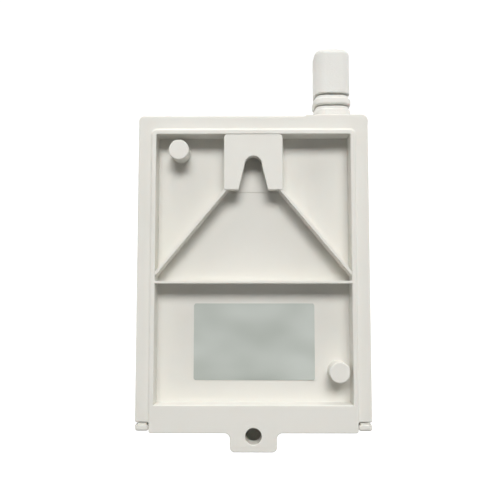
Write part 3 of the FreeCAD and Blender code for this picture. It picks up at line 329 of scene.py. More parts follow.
@dataclass(frozen=True)
class TurnedMetal(Finish):
    """Plated or turned metal with tool marks and a tarnish that gathers in patches."""

    tarnish: Colour = (120, 116, 108)
    patch_mm: float = 3.0
    patch_detail: float = 4.0
    patch_share: float = 0.5
    patch_dulling: float = 0.15
    mark_mm: float = 0.12
    mark_depth_mm: float = 0.004
    mark_stretch: Triple = (1.0, 1.0, 0.35)
    edge_mm: float = 0.1

    def paint(self, shader: Shader) -> None:
        """Dulls patches of the metal and scores it finely.

        Args:
            shader: The shader that takes the finish.
        """
        patch = shader.noise(self.patch_mm, self.patch_detail)
        marks = shader.noise(self.mark_mm, stretch=self.mark_stretch)
        colour = shader.blend(shader.between(patch, 0.0, self.patch_share), self.colour,
                              self.tarnish)
        rough = shader.between(patch, self.roughness, self.roughness + self.patch_dulling)
        normal = shader.relief(marks, self.mark_depth_mm, shader.soft_edge(self.edge_mm))
        shader.dress(Base_Color=colour, Metallic=1.0, Normal=normal, Roughness=rough)


@dataclass(frozen=True)
class SilverFilm(Finish):
    """Pale silver label film with a satin top coat and the slack of a hand-laid sheet."""

    # The lighter colour of the painted sheen patches on the film.
    painted_sheen: Colour = (189, 194, 188)
    metal: float = 0.2
    slack_mm: float = 13.0
    slack_depth_mm: float = 0.09
    slack_detail: float = 1.0
    slack_stretch: Triple = (1.6, 1.0, 0.8)
    brush_mm: float = 0.09
    brush_depth_mm: float = 0.002
    brush_stretch: Triple = (14.0, 1.0, 1.0)
    brush_dulling: float = 0.05

    def paint(self, shader: Shader) -> None:
        """Gives the film broad soft sheens, partly from a slack relief and partly painted as
        lighter patches in its colour, and a very fine brushed grain.

        Args:
            shader: The shader that takes the finish.
        """
        slack = shader.noise(self.slack_mm, self.slack_detail, self.slack_stretch)
        brushed = shader.noise(self.brush_mm, stretch=self.brush_stretch)
        # Painted sheen: the colour turns lighter where the slack noise is high, standing in for
        # light caught by the sheet's slack.
        colour = shader.blend(shader.between(slack, 0.0, 1.0), self.colour, self.painted_sheen)
        rough = shader.between(brushed, self.roughness - self.brush_dulling,
                               self.roughness + self.brush_dulling)
        broad = shader.relief(slack, self.slack_depth_mm)
        normal = shader.relief(brushed, self.brush_depth_mm, broad)
        shader.dress(Base_Color=colour, Metallic=self.metal, Normal=normal, Roughness=rough)


@dataclass(frozen=True)
class BoardLaminate(Finish):
    """Glass-fibre board under solder mask, with the weave and the tracks showing through."""

    track: Colour = (24, 104, 58)
    track_mm: float = 3.2
    track_depth_mm: float = 0.03
    track_edge: tuple[float, float] = (0.42, 0.45)
    weave_mm: float = 0.45
    weave_depth_mm: float = 0.004
    pour_mm: float = 14.0
    pour_detail: float = 1.0
    pour_least: float = 0.2
    coat: float = 0.3
    coat_roughness: float = 0.2

    def paint(self, shader: Shader) -> None:
        """Shows the weave as relief and the tracks as paler mask.

        Args:
            shader: The shader that takes the finish.
        """
        squares = {"Vector": shader.place, "Scale": 1 / (self.weave_mm * MM)}
        weave = shader.node("ShaderNodeTexChecker", squares).outputs["Fac"]
        cells = shader.cells(self.track_mm, "MANHATTAN")
        tracks = shader.between(cells, 1.0, 0.0, *self.track_edge)
        pour = shader.between(shader.noise(self.pour_mm, self.pour_detail), self.pour_least, 1.0)
        colour = shader.blend(shader.math("MULTIPLY", tracks, pour), self.colour, self.track)
        raised = shader.relief(tracks, self.track_depth_mm)
        normal = shader.relief(weave, self.weave_depth_mm, raised)
        shader.dress(Base_Color=colour, Normal=normal, Coat_Weight=self.coat,
                     Coat_Roughness=self.coat_roughness)


@dataclass(frozen=True)
class SoftRubber(Finish):
    """Grey moulded rubber, dull and a little dusty."""

    dust: Colour = (165, 164, 160)
    dust_mm: float = 1.4
    dust_detail: float = 4.0
    dust_share: float = 0.6
    grain_mm: float = 0.12
    grain_depth_mm: float = 0.01
    edge_mm: float = 0.15

    def paint(self, shader: Shader) -> None:
        """Dusts the rubber unevenly.

        Args:
            shader: The shader that takes the finish.
        """
        dust = shader.between(shader.noise(self.dust_mm, self.dust_detail), 0.0, self.dust_share)
        grain = shader.noise(self.grain_mm)
        normal = shader.relief(grain, self.grain_depth_mm, shader.soft_edge(self.edge_mm))
        shader.dress(Base_Color=shader.blend(dust, self.colour, self.dust), Normal=normal)


@dataclass(frozen=True)
class SinteredCeramic(Finish):
    """Ferrite: dark, dense and speckled by its grains."""

    fleck: Colour = (92, 92, 96)
    fleck_mm: float = 0.16
    fleck_share: float = 0.5
    fleck_edge: tuple[float, float] = (0.1, 0.5)
    pit_depth_mm: float = 0.02
    edge_mm: float = 0.12

    def paint(self, shader: Shader) -> None:
        """Speckles the ceramic and pits it.

        Args:
            shader: The shader that takes the finish.
        """
        cells = shader.cells(self.fleck_mm)
        flecks = shader.between(cells, self.fleck_share, 0.0, *self.fleck_edge)
        normal = shader.relief(cells, self.pit_depth_mm, shader.soft_edge(self.edge_mm))
        shader.dress(Base_Color=shader.blend(flecks, self.colour, self.fleck), Normal=normal)


@dataclass(frozen=True)
class WireEnamel(Finish):
    """Enamelled copper wire under its clear coat."""

    deep: Colour = (128, 58, 24)
    deep_mm: float = 1.1
    deep_share: float = 0.7
    metal: float = 0.75
    coat: float = 0.6
    coat_roughness: float = 0.12
    grain_mm: float = 0.1
    grain_depth_mm: float = 0.002

    def paint(self, shader: Shader) -> None:
        """Varies the enamel's depth along the wire.

        Args:
            shader: The shader that takes the finish.
        """
        depth = shader.between(shader.noise(self.deep_mm), 0.0, self.deep_share)
        normal = shader.relief(shader.noise(self.grain_mm), self.grain_depth_mm)
        shader.dress(Base_Color=shader.blend(depth, self.colour, self.deep), Normal=normal,
                     Metallic=self.metal, Coat_Weight=self.coat,
                     Coat_Roughness=self.coat_roughness)


@dataclass(frozen=True)
class ShrinkSleeve(Finish):
    """Glossy shrunk sleeve over a can, drawn tight with faint creases."""

    crease_mm: float = 0.8
    crease_depth_mm: float = 0.03
    crease_stretch: Triple = (3.0, 0.4, 3.0)
    tint_mm: float = 5.0
    tint_lift: int = 18
    coat: float = 0.5
    coat_roughness: float = 0.1
    edge_mm: float = 0.1

    def paint(self, shader: Shader) -> None:
        """Creases the sleeve round its can.

        Args:
            shader: The shader that takes the finish.
        """
        creases = shader.noise(self.crease_mm, stretch=self.crease_stretch)
        lighter = tuple(min(CHANNEL_TOP, channel + self.tint_lift) for channel in self.colour)
        colour = shader.blend(shader.noise(self.tint_mm), self.colour, lighter)
        normal = shader.relief(creases, self.crease_depth_mm, shader.soft_edge(self.edge_mm))
        shader.dress(Base_Color=colour, Normal=normal, Coat_Weight=self.coat,
                     Coat_Roughness=self.coat_roughness)


@dataclass(frozen=True)
class ClearRod(Finish):
    """Clear moulded rod that carries a lamp's light to the front."""

    clearness: float = 0.85
    refraction: float = 1.49
    cloud_mm: float = 0.8
    cloud_depth_mm: float = 0.004
    cloud_dulling: float = 0.12
    edge_mm: float = 0.15

    def paint(self, shader: Shader) -> None:
        """Clouds the clear plastic a little.

        Args:
            shader: The shader that takes the finish.
        """
        cloud = shader.noise(self.cloud_mm)
        rough = shader.between(cloud, self.roughness, self.roughness + self.cloud_dulling)
        normal = shader.relief(cloud, self.cloud_depth_mm, shader.soft_edge(self.edge_mm))
        shader.dress(Base_Color=linear(self.colour), Transmission_Weight=self.clearness,
                     IOR=self.refraction, Roughness=rough, Normal=normal)


CASE = MouldedPlastic("warm_white_case", (226, 224, 217), 0.46, (218, 216, 208))
ANTENNA = MouldedPlastic("white_antenna_shell", (227, 226, 221), 0.62, (220, 219, 213),
                         grain_mm=0.5, grain_depth_mm=0.06, edge_mm=0.25, glow=0.3,
                         glow_mm=1.0)
BOBBIN = MouldedPlastic("amber_bobbin", (186, 150, 84), 0.4, (174, 138, 74))
FINISHES: dict[str, Finish] = {
    "case_plastic": CASE,
    "antenna_plastic": ANTENNA,
    "antenna_metal": TurnedMetal("turned_brass", (208, 172, 104), 0.28, (150, 118, 66)),
    "nickel": TurnedMetal("nickel_plate", (196, 194, 188), 0.3, (158, 155, 146)),
    "rubber": SoftRubber("grey_rubber", (138, 137, 134), 0.85),
    "label_film": SilverFilm("silver_film", (163, 168, 161), 0.4),
    "screw_steel": TurnedMetal("zinc_plate", (190, 192, 194), 0.36, (150, 152, 150)),
    "board": BoardLaminate("green_laminate", (12, 74, 38), 0.42),
    "relay_case": MouldedPlastic("black_relay_case", (34, 34, 36), 0.42, (28, 28, 30)),
    "terminal_plastic": MouldedPlastic("green_polyamide", (34, 124, 66), 0.45, (28, 112, 58)),
    "clamp_plastic": MouldedPlastic("black_polyamide", (38, 38, 40), 0.5, (31, 31, 33)),
    "ferrite": SinteredCeramic("dark_ferrite", (46, 46, 49), 0.5),
    "winding": ShrinkSleeve("yellow_winding_tape", (214, 172, 52), 0.35),
    "capacitor_sleeve": ShrinkSleeve("dark_blue_sleeve", (28, 32, 62), 0.3),
    "film_case": MouldedPlastic("yellow_box_case", (218, 178, 50), 0.34, (208, 166, 42)),
    "varistor_coat": ShrinkSleeve("blue_epoxy_coat", (30, 84, 160), 0.3, crease_mm=1.6),
    "fuse_case": MouldedPlastic("brown_fuse_cap", (104, 44, 30), 0.4, (92, 38, 26)),
    "chip_case": MouldedPlastic("black_epoxy", (32, 32, 34), 0.55, (26, 26, 28)),
    "crystal_can": TurnedMetal("tinned_can", (206, 205, 200), 0.32, (172, 170, 164)),
    "copper": WireEnamel("enamelled_wire", (196, 104, 52), 0.3),
    "button_plastic": MouldedPlastic("grey_button", (98, 100, 103), 0.45, (90, 92, 95)),
    "lens": ClearRod("clear_rod", (236, 242, 238), 0.12),
    "lamp": MouldedPlastic("white_lamp_body", (232, 228, 200), 0.35, (224, 219, 188)),
}

# Where each part's leads come through the board, across and up as shares of half its box.
LEADS: dict[str, tuple[tuple[float, float], ...]] = {
    "power_relay": ((-0.86, 0.55), (-0.86, -0.55), (0.3, 0.0), (0.86, 0.55), (0.86, -0.55)),
    "terminal_block": ((-0.68, 0.0), (-0.23, 0.0), (0.23, 0.0), (0.68, 0.0)),
    "transformer_base": ((-0.8, 0.7), (-0.8, 0.0), (-0.8, -0.7), (0.8, 0.7), (0.8, -0.7)),
    "bridge_rectifier": ((-0.72, 0.0), (-0.24, 0.0), (0.24, 0.0), (0.72, 0.0)),
    "film_capacitor": ((-0.75, 0.0), (0.75, 0.0)),
    "bulk_capacitor": ((-0.35, 0.0), (0.35, 0.0)),
    "output_capacitor": ((-0.35, 0.0), (0.35, 0.0)),
    "varistor": ((-0.5, 0.3), (0.5, -0.3)),
    "mains_fuse": ((-0.3, 0.0), (0.3, 0.0)),
    "relay_transistor": ((-0.5, 0.0), (0.0, 0.0), (0.5, 0.0)),
    "learn_switch": ((-0.9, 0.75), (-0.9, -0.75), (0.9, 0.75), (0.9, -0.75)),
}


class Maker(Nodes):
    """A geometry node group with named inputs, which turns sizes into a finished mesh."""

    def __init__(self, name: str) -> None:
        """Starts a group of that name."""
        super().__init__(bpy.data.node_groups.new(name, "GeometryNodeTree"))
        self.values: dict[str, Value] = {}
        sockets = self.tree.interface
        sockets.new_socket("Points", in_out="INPUT", socket_type="NodeSocketGeometry")
        sockets.new_socket("Geometry", in_out="OUTPUT", socket_type="NodeSocketGeometry")
        self.start = self.node("NodeGroupInput")

    def ask(self, name: str, kind: str, value: Value) -> bpy.types.NodeSocket:
        """Adds a named input.

        Args:
            name: The input's name.
            kind: The socket's kind, such as Float, Int or Vector.
            value: What the input is set to.

        Returns:
            The input's output inside the group.
        """
        self.tree.interface.new_socket(name, in_out="INPUT", socket_type=f"NodeSocket{kind}")
        self.values[name] = value
        return self.start.outputs[name]

    def bake(self, shape: bpy.types.NodeSocket, finish: Finish,
             points: list[Triple] | None = None) -> bpy.types.Mesh:
        """Ends the group in realized instances and a material, and turns it into a mesh.

        Args:
            shape: The output with the group's geometry.
            finish: The finish that the geometry gets.
            points: The places that the group's first input holds.

        Returns:
            The plain mesh.
        """
        real = self.node("GeometryNodeRealizeInstances", {0: shape}).outputs[0]
        dressed = self.node("GeometryNodeSetMaterial",
                            {"Geometry": real, "Material": finish.material()}).outputs[0]
        self.feed(self.node("NodeGroupOutput").inputs[0], dressed)
        source = bpy.data.meshes.new("source")
        source.from_pydata(points or [], [], [])
        holder = bpy.data.objects.new("source", source)
        bpy.context.scene.collection.objects.link(holder)
        modifier = holder.modifiers.new("maker", "NODES")
        modifier.node_group = self.tree
        for item in self.tree.interface.items_tree:
            if item.name in self.values:
                modifier[item.identifier] = self.values[item.name]
        sights = bpy.context.evaluated_depsgraph_get()
        mesh = bpy.data.meshes.new_from_object(holder.evaluated_get(sights), depsgraph=sights)
        holder.modifiers.clear()
        bpy.data.objects.remove(holder)
        return mesh


def shown(name: str, mesh: bpy.types.Mesh, body: str) -> bpy.types.Object:
    """Shows a finished mesh as a piece that rides on a body.

    Args:
        name: The piece's name.
        mesh: Its mesh, in place, with its material.
        body: The body that it rides on.

    Returns:
        The piece's object.
    """
    mesh.name = name
    piece = bpy.data.objects.new(name, mesh)
    bpy.context.scene.collection.objects.link(piece)
    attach(piece, body)
    LOG.info("%s: %d faces on %s", name, len(mesh.polygons), body)
    return piece


def as_mesh(name: str, shape: bmesh.types.BMesh, finish: Finish) -> bpy.types.Mesh:
    """Turns a shape into a mesh with outward faces and a finish, and frees the shape.

    Args:
        name: The mesh's name.
        shape: The shape, in place.
        finish: The finish of all its faces.

    Returns:
        The mesh.
    """
    bmesh.ops.recalc_face_normals(shape, faces=shape.faces)
    mesh = bpy.data.meshes.new(name)
    shape.to_mesh(mesh)
    shape.free()
    mesh.materials.append(finish.material())
    return mesh


@dataclass(frozen=True)
class Winding:
    """Round wire that is wound along an axis at an even pitch."""

    turns: float
    pitch: float
    radius: float
    wire: float
    steps: int = 48
    sides: int = 14

    def mesh(self, foot: Vector, tilt: Triple, finish: Finish) -> bpy.types.Mesh:
        """Winds the wire.

        Args:
            foot: The centre of the first turn.
            tilt: The turn about each axis that lays +Z along the winding's axis.
            finish: The wire's finish.

        Returns:
            The wire's mesh.
        """
        maker = Maker("winding")
        turns = maker.ask("Turns", "Float", self.turns)
        radius = maker.ask("Mean radius", "Float", self.radius)
        rise = maker.ask("Height", "Float", self.pitch * self.turns)
        path = maker.node("GeometryNodeCurveSpiral", {
            "Resolution": maker.ask("Steps", "Int", self.steps), "Rotations": turns,
            "Start Radius": radius, "End Radius": radius, "Height": rise}).outputs[0]
        ring = maker.node("GeometryNodeCurvePrimitiveCircle", {
            "Resolution": maker.ask("Sides", "Int", self.sides),
            "Radius": maker.ask("Wire radius", "Float", self.wire)}).outputs[0]
        wire = maker.node("GeometryNodeCurveToMesh", {
            "Curve": path, "Profile Curve": ring, "Fill Caps": True}).outputs[0]
        laid = maker.node("GeometryNodeTransform", {
            "Geometry": wire, "Translation": maker.ask("Foot", "Vector", tuple(foot)),
            "Rotation": maker.ask("Tilt", "Rotation", tilt)}).outputs[0]
        return maker.bake(laid, finish)


@dataclass(frozen=True)
class Turning:
    """A piece turned about an axis along Y, from corners of (radius, y)."""

    profile: tuple[tuple[float, float], ...]
    steps: int = 96

    def add_to(self, shape: bmesh.types.BMesh, x: float, z: float) -> None:
        """Adds the turned piece.

        Args:
            shape: The mesh that it is added to.
            x: The axis's place across.
            z: The axis's height.
        """
        rings = []
        for radius, y in self.profile:
            if radius == 0.0:
                rings.append([shape.verts.new((x, y, z))] * self.steps)
                continue
            angles = [2 * math.pi * step / self.steps for step in range(self.steps)]
            rings.append([shape.verts.new((x + radius * math.cos(a), y, z + radius * math.sin(a)))
                          for a in angles])
        for low, high in zip(rings, rings[1:]):
            for one in range(self.steps):
                two = (one + 1) % self.steps
                corners = dict.fromkeys((low[one], low[two], high[two], high[one]))
                shape.faces.new(tuple(corners))


def rounded_rim(radius: float, y: float, size: float, way: float,
                steps: int = 6) -> list[tuple[float, float]]:
    """Gives the corners of a rounded rim from a flat face to the side under it.

    Args:
        radius: The side's radius.
        y: The flat face's place.
        size: The rim's radius.
        way: 1 where the side lies towards +Y of the face, else -1.
        steps: How many facets the rim has.

    Returns:
        The corners as (radius, y).
    """
    angles = [math.pi / 2 * step / steps for step in range(steps + 1)]
    return [(radius - size * (1 - math.sin(a)), y + way * size * (1 - math.cos(a)))
            for a in angles]


@dataclass
class SubAssembly:
    """A group of the model's nodes that are dressed together."""

    nodes: tuple[str, ...] = ()

    def dress(self) -> None:
        """Gives each node the finish of its record slot."""
        for name in self.nodes:
            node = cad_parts[name]
            for holder in node.material_slots:
                holder.material = FINISHES[holder.material.name].material()
            LOG.info("%s: %d faces dressed", name, len(node.data.polygons))

    def build(self) -> None:
        """Builds the group's own pieces and dresses its nodes."""
        self.dress()


@dataclass
class RearHousing(SubAssembly):
    """The moulded back, its two screw caps and the label in the lower recess."""

    nodes: tuple[str, ...] = ("rear_cover",)
    columns: int = 72
    rows: int = 46
    corner: float = 0.4 * MM
    slack: float = 0.035 * MM
    ripple_across: tuple[float, float] = (5.2, 1.1)
    ripple_up: tuple[float, float] = (4.1, 0.4)
    curl: float = 0.3 * MM
    curl_reach: float = 5.0 * MM
    cap_radius: float = 3.05 * MM
    cap_thickness: float = 1.3 * MM
    cap_rim: float = 0.3 * MM
    stem_radius: float = 2.2 * MM

    def build(self) -> None:
        """Dresses the back, presses the caps in and lays the label film."""
        self.dress()
        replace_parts(self.caps(), "screw_caps")
        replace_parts(self.film(), "rating_label")

    def caps(self) -> bpy.types.Object:
        """Turns the two press-in caps with a soft rim.

        Returns:
            The piece with both caps.
        """
        low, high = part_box("screw_caps")
        rim = rounded_rim(self.cap_radius, high.y, self.cap_rim, -1.0)
        tip = rounded_rim(self.stem_radius, low.y, self.cap_rim, 1.0)
        shoulder = high.y - self.cap_thickness
        side = [(self.cap_radius, shoulder), (self.stem_radius, shoulder)]
        cap = Turning(((0.0, high.y), *rim, *side, *reversed(tip), (0.0, low.y)))
        shape = bmesh.new()
        cap.add_to(shape, high.x - self.cap_radius, high.z - self.cap_radius)
        cap.add_to(shape, low.x + self.cap_radius, low.z + self.cap_radius)
        return shown("turned_caps", as_mesh("turned_caps", shape, CASE), "root")

    def lift(self, x: float, z: float, low: Vector, high: Vector) -> float:
        """Tells how far the film stands off the floor at a place.

        Args:
            x: The place across.
            z: The place up.
            low: The label's lowest corner.
            high: The label's highest corner.

        Returns:
            The height over the flat film.
        """
        across = self.wave((x - low.x) / (high.x - low.x), self.ripple_across)
        up = self.wave((z - low.z) / (high.z - low.z), self.ripple_up)
        ripple = across * up
        away = math.hypot(x - low.x, z - low.z)
        corner = max(0.0, 1 - away / self.curl_reach) ** 2
        return self.slack * (1 + ripple) / 2 + self.curl * corner

    @staticmethod
    def wave(share: float, ripple: tuple[float, float]) -> float:
        """Gives a wave's height at a share of the film, from its turn and its start."""
        return math.sin(ripple[0] * share + ripple[1])

    def film(self) -> bpy.types.Object:
        """Lays the label: a thin bare film that follows its glue, with one corner lifting.

        Returns:
            The film's piece.
        """
        low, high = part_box("rating_label")
        shape = bmesh.new()
        glued = self.sheet(shape, 0.0)
        seen = self.sheet(shape, high.y - low.y)
        for grid in (glued, seen):
            for below, above in zip(grid, grid[1:]):
                for left in range(self.columns):
                    shape.faces.new((below[left], below[left + 1], above[left + 1], above[left]))
        for low_rim, high_rim in zip(self.rim(glued), self.rim(seen)):
            shape.faces.new((low_rim[0], low_rim[1], high_rim[1], high_rim[0]))
        mesh = as_mesh("label_film", shape, FINISHES["label_film"])
        return shown("label_film", mesh, "root")

    def sheet(self, shape: bmesh.types.BMesh, thickness: float) -> list[list[bmesh.types.BMVert]]:
        """Adds the corners of one side of the film, a row at a time.

        Args:
            shape: The mesh that they are added to.
            thickness: How far the side stands over the glued one.

        Returns:
            The rows of corners.
        """
        low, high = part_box("rating_label")
        rows = []
        for row in range(self.rows + 1):
            z = low.z + (high.z - low.z) * row / self.rows
            inset = self.corner_inset(min(z - low.z, high.z - z))
            line = []
            for column in range(self.columns + 1):
                x = low.x + inset + (high.x - low.x - 2 * inset) * column / self.columns
                y = low.y + thickness + self.lift(x, z, low, high)
                line.append(shape.verts.new((x, y, z)))
            rows.append(line)
        return rows

    @staticmethod
    def rim(grid: list[list[bmesh.types.BMVert]]) -> list[tuple[bmesh.types.BMVert, ...]]:
        """Gives the pairs of corners along a sheet's four sides.

        Args:
            grid: The sheet's rows of corners.

        Returns:
            Each corner on the rim with the next one.
        """
        loop = grid[0] + [row[-1] for row in grid[1:]] + grid[-1][-2::-1]
        loop += [row[0] for row in grid[-2:0:-1]]
        return list(zip(loop, loop[1:] + loop[:1]))

    def corner_inset(self, edge_gap: float) -> float:
        """Tells how far a row stands in from the side, so that corners are round.

        Args:
            edge_gap: How far the row is from the film's top or bottom.

        Returns:
            The gap at each end of the row.
        """
        if edge_gap >= self.corner:
            return 0.0
        return self.corner - math.sqrt(self.corner ** 2 - (self.corner - edge_gap) ** 2)


@dataclass
class FrontHousing(SubAssembly):
    """The front cover with its button and light pipes."""

    nodes: tuple[str, ...] = ("front_cover", "learn_button", "light_pipes", "case_screws")


@dataclass
class WiringHousing(SubAssembly):
    """The sliding wiring cover, and the clamp and terminals behind it."""

    nodes: tuple[str, ...] = ("wiring_cover", "cable_clamp", "cable_clamp_screws",
                              "terminal_block", "terminal_screws")


@dataclass
class StubAntenna(SubAssembly):
    """The stub with its coupling nut, and the threaded base under it."""

    nodes: tuple[str, ...] = ("antenna_cap", "antenna_nut", "antenna_base", "antenna_gasket",
                              "antenna_locknut", "antenna_foot", "antenna_pin",
                              "antenna_socket")
    coil: Winding = Winding(turns=5.0, pitch=1.45 * MM, radius=3.0 * MM, wire=0.45 * MM)
    ridge: Winding = Winding(turns=2.0, pitch=0.75 * MM, radius=3.985 * MM, wire=0.05 * MM,
                             steps=72, sides=6)

    def build(self) -> None:
        """Dresses the stub, winds its coil and cuts the ridge of the base's thread."""
        self.dress()
        low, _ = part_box("antenna_coil")
        foot = self.axis(low.z + self.coil.wire)
        wire = self.coil.mesh(foot, (0.0, 0.0, 0.0), FINISHES["copper"])
        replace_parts(shown("wound_coil", wire, "antenna_stub"), "antenna_coil")
        _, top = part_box("antenna_base")
        start = self.axis(top.z - self.ridge.turns * self.ridge.pitch - self.ridge.wire)
        thread = self.ridge.mesh(start, (0.0, 0.0, 0.0), ANTENNA)
        shown("thread_ridge", thread, "root")

    def axis(self, z: float) -> Vector:
        """Gives the point of the stub's axis at a height.

        Args:
            z: The height.

        Returns:
            The point.
        """
        low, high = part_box("antenna_foot")
        middle = (low + high) / 2
        return Vector((middle.x, middle.y, z))


@dataclass
class ReceiverBoard(SubAssembly):
    """The small board that takes the antenna's signal."""

    nodes: tuple[str, ...] = ("receiver_board", "receiver_header", "receiver_chip",
                              "receiver_crystal")


@dataclass
class MainsBoard(SubAssembly):
    """The main board with its power parts, relay and controls."""

    nodes: tuple[str, ...] = ("circuit_board", "board_screws", "power_relay", "relay_transistor",
                              "flyback_diode", "mains_fuse", "varistor", "film_capacitor",
                              "bridge_rectifier", "bulk_capacitor", "output_capacitor",
                              "transformer_base", "transformer_core", "power_chip",
                              "microcontroller", "learn_switch", "learn_plunger", "status_leds")
    flange: float = 0.6 * MM
    bore: float = 2.7 * MM
    barrel: float = 2.86 * MM
    wire: Winding = Winding(turns=15.0, pitch=0.235 * MM, radius=2.98 * MM, wire=0.115 * MM,
                            steps=40, sides=8)
    joint_radius: float = 0.85 * MM
    joint_height: float = 0.55 * MM
    lead_radius: float = 0.32 * MM
    lead_height: float = 0.9 * MM
    joint_sides: int = 20
    joint_steps: int = 4
    lead_sides: int = 16
    joint_sizes: tuple[float, float] = (0.86, 1.08)
    joint_seed: int = 7

    def build(self) -> None:
        """Dresses the board, winds the transformer and solders the leads."""
        self.dress()
        self.winding()
        mesh = self.joints()
        shown("solder_joints", mesh, "root")

    def winding(self) -> None:
        """Winds the transformer's wire on a bobbin with two flanges."""
        low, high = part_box("transformer_coil")
        middle = (low + high) / 2
        rim = (high.x - low.x) / 2
        ends = (high.y - self.flange, low.y + self.flange)
        bobbin = Turning(((self.bore, high.y), (rim, high.y), (rim, ends[0]),
                          (self.barrel, ends[0]), (self.barrel, ends[1]), (rim, ends[1]),
                          (rim, low.y), (self.bore, low.y), (self.bore, high.y)))
        shape = bmesh.new()
        bobbin.add_to(shape, middle.x, middle.z)
        bmesh.ops.remove_doubles(shape, verts=shape.verts, dist=WELD)
        spool = shown("winding_bobbin", as_mesh("winding_bobbin", shape, BOBBIN),
                      "root")
        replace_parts(spool, "transformer_coil")
        room = ends[0] - ends[1] - self.wire.turns * self.wire.pitch
        foot = Vector((middle.x, ends[0] - room / 2, middle.z))
        wire = self.wire.mesh(foot, (math.pi / 2, 0.0, 0.0), FINISHES["copper"])
        shown("wound_wire", wire, "root")

    def leads(self) -> list[Triple]:
        """Gives the places where leads come through the back of the board.

        Returns:
            The places.
        """
        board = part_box("circuit_board")[1].y
        places = []
        for node, shares in LEADS.items():
            low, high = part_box(node)
            middle = (low + high) / 2
            half = (high - low) / 2
            places += [(middle.x + across * half.x, board, middle.z + up * half.z)
                       for across, up in shares]
        return places

    def joints(self) -> bpy.types.Mesh:
        """Sets a solder cone with a cut lead on each place, all a little unlike.

        Returns:
            The mesh of all joints.
        """
        maker = Maker("solder_joints")
        seed = maker.ask("Seed", "Int", self.joint_seed)
        radius = maker.ask("Joint radius", "Float", self.joint_radius)
        height = maker.ask("Joint height", "Float", self.joint_height)
        lead = maker.ask("Lead radius", "Float", self.lead_radius)
        reach = maker.ask("Lead height", "Float", self.lead_height)
        cone = maker.node("GeometryNodeMeshCone", {
            "Vertices": self.joint_sides, "Side Segments": self.joint_steps,
            "Radius Top": lead, "Radius Bottom": radius, "Depth": height}).outputs[0]
        wire = maker.node("GeometryNodeMeshCylinder", {
            "Vertices": self.lead_sides, "Radius": lead, "Depth": reach}).outputs[0]
        middle = maker.math("DIVIDE", reach, 2.0)
        lift = maker.node("ShaderNodeCombineXYZ", {"Z": middle}).outputs[0]
        raised = maker.node("GeometryNodeTransform",
                            {"Geometry": wire, "Translation": lift}).outputs[0]
        both = maker.node("GeometryNodeJoinGeometry")
        maker.feed(both.inputs[0], cone)
        maker.feed(both.inputs[0], raised)
        least, most = self.joint_sizes
        size = maker.node("FunctionNodeRandomValue", {
            "Seed": seed, RANDOM_LEAST: least, RANDOM_MOST: most}, data_type="FLOAT")
        set_out = maker.node("GeometryNodeInstanceOnPoints", {
            "Points": maker.start.outputs["Points"], "Instance": both.outputs[0],
            "Rotation": (-math.pi / 2, 0.0, 0.0),
            "Scale": size.outputs[RANDOM_RESULT]}).outputs[0]
        return maker.bake(set_out, FINISHES["crystal_can"], self.leads())


class Side(Enum):
    """The sides from which a lamp stands off the object."""

    REAR = 1
    FRONT = -1


@dataclass(frozen=True)
class SoftLamp:
    """A rectangular soft lamp aimed at the object."""

    name: str
    side: Side
    turn_deg: float
    rise_deg: float
    away: float
    width: float
    height: float
    power: float
    spread_deg: float = 180.0

    def mirrored(self, name: str) -> "SoftLamp":
        """Gives the same lamp on the object's other side."""
        return replace(self, name=name, turn_deg=-self.turn_deg)

    def place(self, aim: Vector) -> None:
        """Sets the lamp up.

        Args:
            aim: The point that it looks at.
        """
        rise = math.radians(self.rise_deg)
        turn = math.radians(self.turn_deg)
        way = Vector((math.sin(turn) * math.cos(rise),
                      self.side.value * math.cos(turn) * math.cos(rise), math.sin(rise)))
        light = bpy.data.lights.new(self.name, "AREA")
        light.shape = "RECTANGLE"
        light.size = self.width
        light.size_y = self.height
        light.energy = self.power
        light.spread = math.radians(self.spread_deg)
        lamp = bpy.data.objects.new(self.name, light)
        lamp.location = aim + way * self.away
        lamp.rotation_mode = "QUATERNION"
        lamp.rotation_quaternion = (-way).to_track_quat("-Z", "Y")
        lamp.visible_camera = False
        bpy.context.scene.collection.objects.link(lamp)


